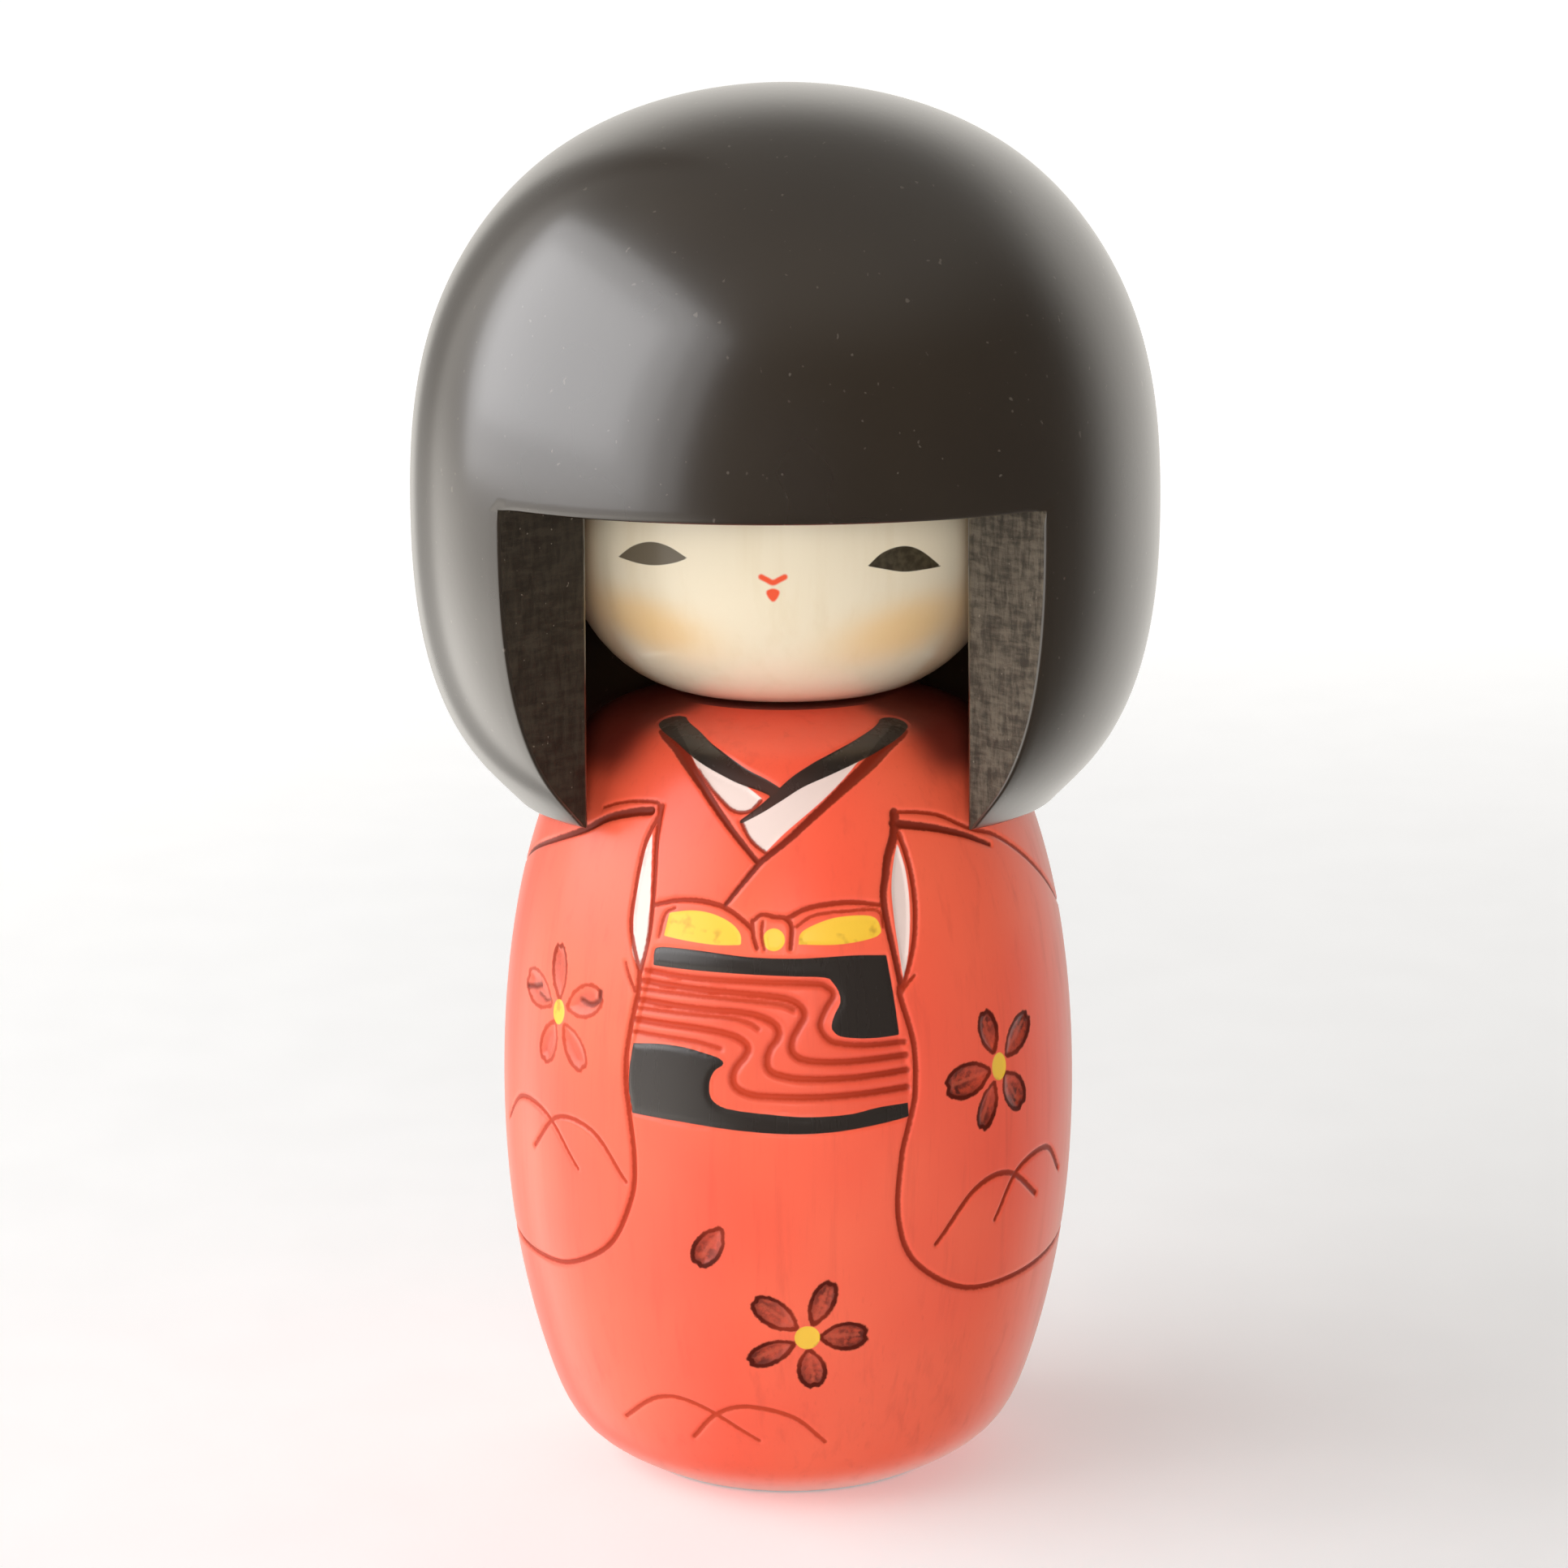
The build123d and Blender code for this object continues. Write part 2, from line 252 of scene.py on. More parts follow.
# ---- the face's drawing ----------------------------------------------------------------
EYES = [
    [(-43.5, 102.3), (-43.5, 102.3), (-38, 103.7), (-32.5, 104.3), (-27.2, 104), (-21.8, 102.9),
     (-21.8, 102.9), (-25.8, 102.3), (-31, 101.9), (-36.3, 101.9)],
    [(23.2, 102.1), (23.2, 102.1), (27.3, 103.4), (32.8, 103.9), (38, 103.3), (45, 101.3), (45, 101.3),
     (39.6, 101.2), (33.2, 101.2), (27.3, 101.7)],
]
NOSE = [(-3.2, 101.25), (-1.8, 100.95), (-0.3, 100.65), (1.2, 100.95), (2.6, 101.25)]
NOSE_WIDTH = 0.62
MOUTH = [(-2, 99.75), (-0.3, 100.05), (1.3, 99.75), (0.9, 99.1), (-0.3, 98.6), (-1.6, 99.1)]
BLUSH = [((-38, 95.4), 9, 3.6), ((37, 95), 9.5, 3.8)]  # middle, half width and half height in mm
BLUSH_SAG = 0.06  # mm for each degree: the blush is lower towards the middle
SIDE_SHADE = (47, 60)  # degrees round where the painted shade of the hair on the face's sides starts and is full

# ---- mesh and surface settings -----------------------------------------------------------
BASE_CELL = 1.6  # mm; the finest cells are an eighth of it
BODY_REACH = 0.34  # mm from the drawing's edges within which the cells are fine
FACE_REACH = 0.4
BODY_MARGIN = 0.5  # mm of outline at each end that plain rings take over
FACE_MARGIN = 0.01
GROOVE_SHOULDER = 0.26
STRIPE_DEPTH = 0.42
STRIPE_SHOULDER = 0.38
STRIPE_DROP = 0.2
WHITE_DROP = 0.2
YELLOW_DROP = 0.06
PETAL_DROP = 0.32
BLACK_ROUND = 0.16
DAB_DEPTH = 0.14
FAR = 3.0  # distances are measured up to this
ZERO_AT_ENDS = ("depth", "blush", "shade")  # the other numbers are FAR beyond the drawn part
OUTLINE_POINTS = 1500
LINE_STEP = 0.6  # how far apart the points of a smoothed line or edge are
PAINT_STEP = 0.5
EYE_STEP = 0.3
MOUTH_STEP = 0.2


# ---- curves ----------------------------------------------------------------------------
def clamped_spline(points, start, end, count):
    """The smooth cubic through the points that part.py's Spline makes, with unit end tangents."""
    p = np.array(points, float)
    n = len(p)
    h = np.linalg.norm(np.diff(p, axis=0), axis=1)
    system = np.eye(n)
    right = np.zeros((n, 2))
    right[0] = np.array(start) / np.linalg.norm(start)
    right[-1] = np.array(end) / np.linalg.norm(end)
    for i in range(1, n - 1):
        system[i, i - 1:i + 2] = h[i], 2 * (h[i - 1] + h[i]), h[i - 1]
        before = (p[i] - p[i - 1]) / h[i - 1]
        after = (p[i + 1] - p[i]) / h[i]
        right[i] = 3 * (h[i] * before + h[i - 1] * after)
    slopes = np.linalg.solve(system, right)
    knots = np.r_[0, np.cumsum(h)]
    u = np.linspace(0, knots[-1], count)
    k = np.clip(np.searchsorted(knots, u, "right") - 1, 0, n - 2)
    t = ((u - knots[k]) / h[k])[:, None]
    step = h[k][:, None]
    return ((2 * t**3 - 3 * t**2 + 1) * p[k] + (t**3 - 2 * t**2 + t) * step * slopes[k]
            + (3 * t**2 - 2 * t**3) * p[k + 1] + (t**3 - t**2) * step * slopes[k + 1])


def smooth_run(points, step):
    """A Catmull-Rom line through a run of points, sampled about every step."""
    p = np.array(points, float)
    if len(p) < 3:
        count = max(2, int(np.linalg.norm(p[1] - p[0]) / step) + 1)
        return p[0] + (p[1] - p[0]) * np.linspace(0, 1, count)[:, None]
    padded = np.vstack([2 * p[0] - p[1], p, 2 * p[-1] - p[-2]])
    out = []
    for a, b, c, d in zip(padded, padded[1:], padded[2:], padded[3:]):
        count = max(2, int(np.linalg.norm(c - b) / step) + 1)
        t = np.linspace(0, 1, count, endpoint=False)[:, None]
        out.append(0.5 * (2 * b + (c - a) * t + (2 * a - 5 * b + 4 * c - d) * t**2
                          + (3 * b - a - 3 * c + d) * t**3))
    return np.vstack(out + [p[-1:]])


def smooth_outline(points, step):
    """A closed smooth outline. A point given twice is a corner."""
    corners = [i for i in range(len(points)) if points[i] == points[i - 1]]
    if not corners:
        n = len(points)
        wrapped = [points[(i - 2) % n] for i in range(n + 5)]
        run = smooth_run(wrapped, step)
        first = np.argmin(np.linalg.norm(run - np.array(points[0]), axis=1)[:len(run) // 2])
        tail = len(run) // 2
        last = tail + np.argmin(np.linalg.norm(run[tail:] - np.array(points[0]), axis=1))
        return run[first:last + 1]
    turned = points[corners[0]:] + points[:corners[0]]
    runs, current = [], [turned[0]]
    for q in turned[1:]:
        if q == current[-1]:
            continue
        current.append(q)
        if turned.count(q) > 1:
            runs.append(current)
            current = [q]
    runs.append(current + [turned[0]])
    return np.vstack([smooth_run(r, step) for r in runs if len(r) > 1])


class Outline:
    """A turned outline in (radius, height), read by length along it, base to top."""

    def __init__(self, points):
        self.points = np.array(points, float)
        self.length = np.r_[0, np.cumsum(np.linalg.norm(np.diff(self.points, axis=0), axis=1))]
        slopes = np.gradient(self.points, self.length, axis=0)
        slopes /= np.linalg.norm(slopes, axis=1)[:, None]
        self.normals = np.c_[slopes[:, 1], -slopes[:, 0]]

    def at(self, s):
        return tuple(np.interp(s, self.length, column) for column in self.points.T)

    def normal(self, s):
        return tuple(np.interp(s, self.length, column) for column in self.normals.T)

    def radius(self, z):
        return np.interp(z, self.points[:, 1], self.points[:, 0])

    def length_at(self, z):
        return np.interp(z, self.points[:, 1], self.length)


def place(theta, radius, z):
    """Points on circles about Z."""
    a = np.radians(theta)
    return np.stack([radius * np.sin(a), -radius * np.cos(a), z + 0 * a], axis=-1)


def smoothstep(x):
    x = np.clip(x, 0, 1)
    return x * x * (3 - 2 * x)


def rise(x, limits):
    """Smooth step from 0 at the first limit to 1 at the second."""
    return smoothstep((x - limits[0]) / (limits[1] - limits[0]))


# ---- distances on a turned surface -----------------------------------------------------
def path_distance(points, path):
    """Distance to a polyline in space up to FAR, and the share of its length at the nearest point."""
    far = np.full(len(points), FAR)
    along = np.zeros(len(points))
    near = np.all((points > path.min(0) - FAR) & (points < path.max(0) + FAR), axis=1)
    if not near.any():
        return far, along
    p = points[near]
    best, where = far[near], along[near]
    steps = np.linalg.norm(np.diff(path, axis=0), axis=1)
    starts = np.r_[0, np.cumsum(steps)]
    for a, b, step, start in zip(path[:-1], path[1:], steps, starts):
        if step < 1e-9:
            continue
        t = np.clip((p - a) @ (b - a) / step**2, 0, 1)
        d = np.linalg.norm(p - a - t[:, None] * (b - a), axis=1)
        closer = d < best
        best[closer] = d[closer]
        where[closer] = (start + t[closer] * step) / starts[-1]
    far[near], along[near] = best, where
    return far, along


def inside(theta, z, outline):
    """Which points of the unrolled surface lie in a closed outline."""
    middle = (outline[:, 0].min() + outline[:, 0].max()) / 2
    theta = (theta - middle + 180) % 360 - 180 + middle
    result = np.zeros(len(theta), bool)
    near = ((theta > outline[:, 0].min()) & (theta < outline[:, 0].max())
            & (z > outline[:, 1].min()) & (z < outline[:, 1].max()))
    x, y = theta[near], z[near]
    odd = np.zeros(len(x), bool)
    for (x0, y0), (x1, y1) in zip(outline, np.roll(outline, -1, axis=0)):
        if y0 == y1:
            continue
        crosses = (y0 > y) != (y1 > y)
        odd ^= crosses & (x < (x1 - x0) * (y - y0) / (y1 - y0) + x0)
    result[near] = odd
    return result


class Drawing:
    """Strokes and areas on a turned surface, measured at given points of it."""

    def __init__(self, outline, theta, z):
        self.outline, self.theta, self.z = outline, theta, z
        self.points = place(theta, outline.radius(z), z)

    def lift(self, path):
        return place(path[:, 0], self.outline.radius(path[:, 1]), path[:, 1])

    def stroke(self, points):
        return path_distance(self.points, self.lift(smooth_run(points, LINE_STEP)))

    def area(self, outline):
        """Distance to the edge of a closed area, negative inside it."""
        d, _ = path_distance(self.points, self.lift(np.vstack([outline, outline[:1]])))
        return np.where(inside(self.theta, self.z, outline), -d, d)


# ---- adaptive lathe surface --------------------------------------------------------------
def grown(cells):
    """Cells and their eight neighbours; columns go round, rows end."""
    wide = cells | np.roll(cells, 1, 0) | np.roll(cells, -1, 0)
    tall = wide.copy()
    tall[:, 1:] |= wide[:, :-1]
    tall[:, :-1] |= wide[:, 1:]
    return tall


def fine_cells(columns, rows, wanted):
    """Leaf cells of a three-level refined grid as faces of a lattice eight times as fine."""
    split = [None, None, wanted]
    for level in (1, 0):
        n = 2**level
        split[level] = grown(split[level + 1]).reshape(columns * n, 2, rows * n, 2).any(axis=(1, 3))
    split[0][:, [0, -1]] = False
    exists = np.ones((columns, rows), bool)
    quads, triangles = [], []
    for level in range(4):
        size = 8 // 2**level
        cut = split[level] & exists if level < 3 else np.zeros_like(exists)
        leaf = exists & ~cut
        left, right = np.roll(cut, 1, 0), np.roll(cut, -1, 0)
        below, above = np.zeros_like(cut), np.zeros_like(cut)
        below[:, 1:] = cut[:, :-1]
        above[:, :-1] = cut[:, 1:]
        hanging = leaf & (left | right | below | above)
        i, j = np.nonzero(leaf & ~hanging)
        x, y = i * size, j * size
        quads.append(np.stack([x, y, x + size, y, x + size, y + size, x, y + size], 1))
        half = size // 2
        for i, j in zip(*np.nonzero(hanging)):
            x, y = i * size, j * size
            ring = [(x, y)] + [(x + half, y)] * below[i, j] + [(x + size, y)]
            ring += [(x + size, y + half)] * right[i, j] + [(x + size, y + size)]
            ring += [(x + half, y + size)] * above[i, j] + [(x, y + size)]
            ring += [(x, y + half)] * left[i, j]
            for p, q in zip(ring, ring[1:] + ring[:1]):
                triangles.append((x + half, y + half, *p, *q))
        if level < 3:
            exists = np.repeat(np.repeat(cut, 2, 0), 2, 1)
    return np.vstack(quads), np.array(triangles, int).reshape(-1, 6)


def lathe_lattice(columns, rows, wanted):
    """Lattice positions used and faces as index lists, with the two end rows' indices."""
    width = columns * 8
    quads, triangles = fine_cells(columns, rows, wanted)
    quad_keys = (quads[:, 0::2] % width) + quads[:, 1::2] * width
    triangle_keys = (triangles[:, 0::2] % width) + triangles[:, 1::2] * width
    keys, index = np.unique(np.r_[quad_keys.ravel(), triangle_keys.ravel()], return_inverse=True)
    faces = index[:quad_keys.size].reshape(-1, 4).tolist()
    faces += index[quad_keys.size:].reshape(-1, 3).tolist()
    x, y = keys % width, keys // width
    first = np.nonzero(y == 0)[0]
    last = np.nonzero(y == rows * 8)[0]
    return x / width * 360 - 180, y / (rows * 8), faces, first, last


class LatheMesh:
    """Collects points and faces, and closes a surface with plain rings."""

    def __init__(self, points, faces, columns):
        self.points = [np.asarray(points)]
        self.count = len(points)
        self.faces = faces
        self.angles = np.arange(columns) / columns * 360 - 180

    def ring(self, radius, z):
        self.points.append(place(self.angles, radius, z))
        start = self.count
        self.count += len(self.angles)
        return np.arange(start, self.count)

    def bridge(self, lower, upper):
        """Faces between two rings; they face outwards where upper is above lower."""
        for a, b, c, d in zip(lower, np.roll(lower, -1), np.roll(upper, -1), upper):
            self.faces.append([int(a), int(b), int(c), int(d)])

    def chain(self, start, outline, upwards):
        """Rings along (radius, height) points, from ring start, and a cap if the last radius is 0."""
        previous = start
        for radius, z in outline:
            if radius == 0:
                self.points.append(np.array([[0.0, 0.0, z]]))
                centre = self.count
                self.count += 1
                for a, b in zip(previous, np.roll(previous, -1)):
                    self.faces.append([int(a), int(b), centre] if upwards else [int(b), int(a), centre])
                return
            ring = self.ring(radius, z)
            self.bridge(*((previous, ring) if upwards else (ring, previous)))
            previous = ring


def soften(points, radius):
    """Rounds the inner corners of a (radius, height) line with four-step curves."""
    p = [np.array(q, float) for q in points]
    out = [p[0]]
    for a, b, c in zip(p, p[1:], p[2:]):
        before, after = a - b, c - b
        cut = min(radius, 0.4 * np.linalg.norm(before), 0.4 * np.linalg.norm(after))
        start = b + before / np.linalg.norm(before) * cut
        end = b + after / np.linalg.norm(after) * cut
        for t in np.linspace(0, 1, 5):
            out.append((1 - t)**2 * start + 2 * t * (1 - t) * b + t**2 * end)
    return out + [p[-1]]


def linked(name, data):
    obj = bpy.data.objects.new(name, data)
    bpy.context.scene.collection.objects.link(obj)
    return obj


def smoothed(name, mesh, sharp_degrees):
    """The mesh's object, shaded smooth but for edges past an angle."""
    mesh.polygons.foreach_set("use_smooth", np.ones(len(mesh.polygons), bool))
    mesh.set_sharp_from_angle(angle=math.radians(sharp_degrees))
    return linked(name, mesh)


def store(obj, fields):
    """Numbers for each vertex that the materials read, with end values beyond the drawn part."""
    for name, values in fields.items():
        attribute = obj.data.attributes.new(name, "FLOAT", "POINT")
        end = 0.0 if name in ZERO_AT_ENDS else FAR
        padded = np.full(len(obj.data.vertices), end, np.float32)
        padded[:len(values)] = values
        attribute.data.foreach_set("value", padded)


# ---- body ------------------------------------------------------------------------------
def petal_outline(outline, base, tip, width):
    """A notched cherry petal on the unrolled surface, and the line of its vein."""
    z = (base[1] + tip[1]) / 2
    degree = math.radians(outline.radius(z))  # mm for each degree round
    b = np.array([base[0] * degree, base[1]])
    along = np.array([tip[0] * degree, tip[1]]) - b
    length = np.linalg.norm(along)
    along /= length
    across = np.array([-along[1], along[0]])
    shape = [(0.0, 0.14), (0.1, 0.42), (0.26, 0.8), (0.45, 0.98), (0.62, 1.0), (0.78, 0.88),
             (0.9, 0.64), (0.98, 0.32)]
    right = [b + along * t * length + across * w * width / 2 for t, w in shape]
    left = [b + along * t * length - across * w * width / 2 for t, w in shape]
    notch = [b + along * 0.94 * length]
    edge = np.array(right + notch + left[::-1])
    vein = np.array([b + along * length * t for t in (0.16, 0.5, 0.8)])
    return edge / [degree, 1], vein / [degree, 1]


def dot_outline(outline, centre, half_width, half_height):
    a = np.linspace(0, 2 * math.pi, 24, endpoint=False)
    degree = math.radians(outline.radius(centre[1]))
    return np.c_[centre[0] + half_width / degree * np.cos(a), centre[1] + half_height * np.sin(a)]


def measure_grooves(drawing):
    """Paint edge, darkness and depth of all carved lines."""
    n = len(drawing.theta)
    line, tone, carve = np.full(n, FAR), np.zeros(n), np.zeros(n)
    for points, widths, depth, dark in GROOVES:
        d, along = drawing.stroke(points)
        half = np.interp(along, (0, 0.5, 1), widths) / 2
        carve = np.maximum(carve, depth * smoothstep(1 - d / (half + GROOVE_SHOULDER)))
        tone = np.where(d - half < line, dark, tone)
        line = np.minimum(line, d - half)
    return line, tone, carve


def measure_stripes(drawing):
    """Distance to the obi's channels' painted middle, and their depth."""
    stripe, carve = np.full(len(drawing.theta), FAR), np.zeros(len(drawing.theta))
    for points, width in STRIPES:
        d, _ = drawing.stroke(points)
        stripe = np.minimum(stripe, d - width / 2)
        carve = np.maximum(carve, STRIPE_DEPTH * width / 0.6
                           * smoothstep(1 - d / (width / 2 + STRIPE_SHOULDER)))
    return stripe, carve


def measure_petals(drawing):
    """Paint edge, fill, vein distance and depth of the petals and their dabs."""
    n = len(drawing.theta)
    petal, fill, vein, carve = np.full(n, FAR), np.zeros(n), np.full(n, FAR), np.zeros(n)
    for base, tip, width, dark in PETALS:
        shape, middle = petal_outline(drawing.outline, base, tip, width)
        d = drawing.area(shape)
        carve = np.maximum(carve, PETAL_DROP * smoothstep(-d / (width * 0.36)))
        apart, along = path_distance(drawing.points, drawing.lift(middle))
        # the wash is stronger towards the tip
        fill = np.where(d < petal, dark * (0.6 + 0.4 * smoothstep(along)), fill)
        petal = np.minimum(petal, d)
        vein = np.minimum(vein, apart)
    dab = np.full(n, FAR)
    for points, width in DABS:
        dab = np.minimum(dab, drawing.stroke(points)[0] - width / 2)
    carve = carve + DAB_DEPTH * smoothstep(-dab / 0.35)
    return petal, fill, vein, dab, carve


def nearest_area(drawing, outlines, step):
    """Distance to the edge of the nearest smoothed area, negative inside it."""
    d = np.full(len(drawing.theta), FAR)
    for outline in outlines:
        d = np.minimum(d, drawing.area(smooth_outline(outline, step)))
    return d


def measure_body(outline, theta, z):
    """Carving depth and the paint distances at points of the body."""
    drawing = Drawing(outline, theta, z)
    line, tone, groove = measure_grooves(drawing)
    stripe, channel = measure_stripes(drawing)
    petal, fill, vein, dab, bowl = measure_petals(drawing)
    black = nearest_area(drawing, BLACK_AREAS, LINE_STEP)
    black_tone = np.ones(len(theta))
    rounded = BLACK_ROUND * smoothstep(1 + black / 0.5)
    for points, widths in BLACK_BANDS:
        d, along = drawing.stroke(points)
        edge = d - np.interp(along, (0, 0.55, 1), widths) / 2
        black_tone = np.where(edge < black, np.interp(along, *BAND_TONE), black_tone)
        black = np.minimum(black, edge)
    obi = nearest_area(drawing, OBI_AREAS, LINE_STEP)
    white = nearest_area(drawing, WHITE_AREAS, PAINT_STEP)
    yellow = nearest_area(drawing, YELLOW_AREAS, PAINT_STEP)
    for centre, half_width, half_height in YELLOW_DOTS:
        dot = dot_outline(outline, centre, half_width, half_height)
        yellow = np.minimum(yellow, drawing.area(dot))
    outside_black = smoothstep((black + 0.02) / 0.25)
    striped = smoothstep(0.5 - obi / 0.4) * outside_black
    groove = groove * (0.35 + 0.65 * outside_black)
    carve = np.maximum.reduce([groove, channel * outside_black, bowl]) + STRIPE_DROP * striped
    carve = np.maximum(carve, rounded * (1 - outside_black))
    carve = np.maximum(carve, WHITE_DROP * smoothstep(-white / 0.3) * outside_black)
    carve = carve + YELLOW_DROP * smoothstep(-yellow / 0.25)
    # painted shade where the hair bell shades the shoulders
    painted_shade = rise(np.abs(theta), SHOULDER_SHADE_ROUND) * rise(z, SHOULDER_SHADE_HEIGHT)
    return {"painted_shade": painted_shade, "line": line, "tone": tone, "stripe": stripe, "petal": petal, "fill": fill,
            "vein": vein, "dab": dab, "black": black, "black_tone": black_tone, "white": white,
            "yellow": yellow, "depth": carve}


def drawn_near(fields, names, reach):
    """Where an edge or stroke of the drawing is nearer than reach."""
    near = np.zeros(len(fields[names[0]]), bool)
    for name in names:
        near |= np.abs(fields[name]) < reach
    return near


def turned_mesh(outline, margin, measure, names, reach):
    """An adaptive lathe surface over an outline, without margin mm at each end."""
    span = outline.length[-1] - 2 * margin
    columns = 4 * round(2 * math.pi * outline.points[:, 0].max() / BASE_CELL / 4)
    rows = round(span / BASE_CELL)
    i, j = np.meshgrid(np.arange(columns * 4), np.arange(rows * 4), indexing="ij")
    theta = (i.ravel() + 0.5) / (columns * 4) * 360 - 180
    s = margin + (j.ravel() + 0.5) / (rows * 4) * span
    fields = measure(outline, theta, outline.at(s)[1])
    wanted = drawn_near(fields, names, reach).reshape(columns * 4, rows * 4)
    theta, share, faces, first, last = lathe_lattice(columns, rows, wanted)
    s = margin + share * span
    radius, z = outline.at(s)
    fields = measure(outline, theta, z)
    across, up = outline.normal(s)
    depth = fields.get("depth", 0.0)
    points = place(theta, radius - across * depth, z - up * depth)
    return LatheMesh(points, faces, columns), fields, first, last


def close_ends(lathe, first, last, below, above):
    """Plain rings from the drawn part's ends; each end is (points, rounding of its corners)."""
    for ring, (points, soft), upwards in ((first, below, False), (last, above, True)):
        lathe.chain(ring, soften(points, soft)[1:], upwards)


def turned_object(name, lathe, fields, sharp_degrees):
    mesh = bpy.data.meshes.new(name)
    mesh.from_pydata((np.vstack(lathe.points) * MM).tolist(), [], lathe.faces)
    mesh.validate()
    obj = smoothed(name, mesh, sharp_degrees)
    store(obj, fields)
    return obj


def make_body():
    outline = Outline(clamped_spline(BODY_POINTS, (0.9, 0.44), (-1, 0.25), OUTLINE_POINTS))
    names = ("line", "stripe", "petal", "dab", "black", "white", "yellow", "vein")
    lathe, fields, first, last = turned_mesh(outline, BODY_MARGIN, measure_body, names, BODY_REACH)
    base = [outline.at(BODY_MARGIN), BODY_POINTS[0], (BASE_HOLLOW_R, 0.0),
            (BASE_HOLLOW_R, BASE_HOLLOW_DEPTH), (0, BASE_HOLLOW_DEPTH)]
    top = [outline.at(outline.length[-1] - BODY_MARGIN), BODY_POINTS[-1], (SOCKET_R, BODY_TOP_Z),
           (SOCKET_R, SOCKET_MOUTH_Z), (CHAMBER_R, CHAMBER_TOP_Z), (CHAMBER_R, CHAMBER_FLOOR_Z),
           (0, CHAMBER_FLOOR_Z)]
    close_ends(lathe, first, last, (base, 0.3), (top, 0.4))
    return turned_object("body_carved", lathe, fields, 60)


# ---- face ------------------------------------------------------------------------------
def face_outline():
    a = np.radians(np.linspace(-90, 0, 300))
    cheek = np.c_[CHIN_R + (CHEEK_R - CHIN_R) * np.cos(a), CHEEK_Z + (CHEEK_Z - CHIN_Z) * np.sin(a)]
    t = np.linspace(0, 1, 100)[1:]
    brow = np.c_[CHEEK_R - (CHEEK_R - FACE_TOP_R) * t**2, CHEEK_Z + (BORE_TOP_Z - CHEEK_Z) * t]
    return Outline(np.vstack([cheek, brow]))


def measure_face(outline, theta, z):
    drawing = Drawing(outline, theta, z)
    eye = nearest_area(drawing, EYES, EYE_STEP)
    nose, _ = drawing.stroke(NOSE)
    lips = np.minimum(nose - NOSE_WIDTH / 2, nearest_area(drawing, [MOUTH], MOUTH_STEP))
    blush = np.zeros(len(theta))
    for (angle, height), half_width, half_height in BLUSH:
        across = np.radians(theta - angle) * outline.radius(z) / half_width
        sag = (abs(angle) - np.abs(theta)) * BLUSH_SAG
        blush += np.exp(-across**2 - ((z - height + sag) / half_height)**2) * (theta * angle > 0)
    # shade is the painted shade of the hair on the face's sides
    return {"eye": eye, "lips": lips, "blush": blush, "shade": rise(np.abs(theta), SIDE_SHADE)}


def make_face():
    outline = face_outline()
    names = ("eye", "lips")
    lathe, fields, first, last = turned_mesh(outline, FACE_MARGIN, measure_face, names, FACE_REACH)
    under = [outline.at(FACE_MARGIN), (PEG_R, CHIN_Z), (PEG_R, PEG_TOP_Z), (0, PEG_TOP_Z)]
    above = [outline.at(outline.length[-1] - FACE_MARGIN), (FACE_TOP_R, BORE_TOP_Z),
             (DOWEL_R, BORE_TOP_Z), (DOWEL_R, DOWEL_FOOT_Z), (0, DOWEL_FOOT_Z)]
    close_ends(lathe, first, last, (under, 0.2), (above, 0.3))
    return turned_object("face_painted", lathe, fields, 50)


# ---- hair ------------------------------------------------------------------------------
ARC_STEPS = 132  # round the back of the wall
FRINGE_STEPS = 44
CUT_STEPS = 30  # across a window cut; even
HALF_CUT = CUT_STEPS // 2
CORNER = (0.25, 0.5, 0.75)
LEFT_CUT = HALF_CUT + ARC_STEPS + 1 + 2 * len(CORNER)  # where a section's left-hand cut starts
LIP_ROUND = 0.34
EDGE_ROUND = 0.4
EDGE_FADE = 1.6  # below the fringe, over which the cuts' rounded edges become sharp
FRINGE_ROUND = 0.6
FRINGE_FADE = 0.035  # share of the fringe's width over which its rounding starts
FRINGE_INNER_ROUND = 0.3
LEFT_MARKS = 0.6  # how deep the left-hand cut's saw marks are, where the other's are 1
WALL_STEP = 0.32
BORE_FOOT = 0.8  # from the window's edge up to the bore's first ring
CROWN_STEP = 1.3


def hair_outline():
    """The bell's outside, rim to crown."""
    crown_first = clamped_spline(CROWN_POINTS, (1, 0), (-0.68, -0.73), OUTLINE_POINTS)
    return Outline(crown_first[::-1])


def bore_radius(z):
    return BORE_RIM_R + (BORE_TOP_R - BORE_RIM_R) * (z - RIM_Z) / (BORE_TOP_Z - RIM_Z)


def cut_point(radius):
    """Where the right-hand window cut meets a circle about Z."""
    a = math.radians(WINDOW_SPLAY)
    root = np.array([WINDOW_HALF_WIDTH, WINDOW_EDGE_Y])
    along = np.array([math.sin(a), -math.cos(a)])
    b = root @ along
    return root + along * (math.sqrt(b * b - root @ root + radius * radius) - b)


def angle_of(p):
    return math.degrees(math.atan2(p[0], -p[1]))


def bezier(a, b, c, t):
    return (1 - t)**2 * a + 2 * t * (1 - t) * b + t * t * c


def level_point(p, z):
    return np.array([p[0], p[1], z])


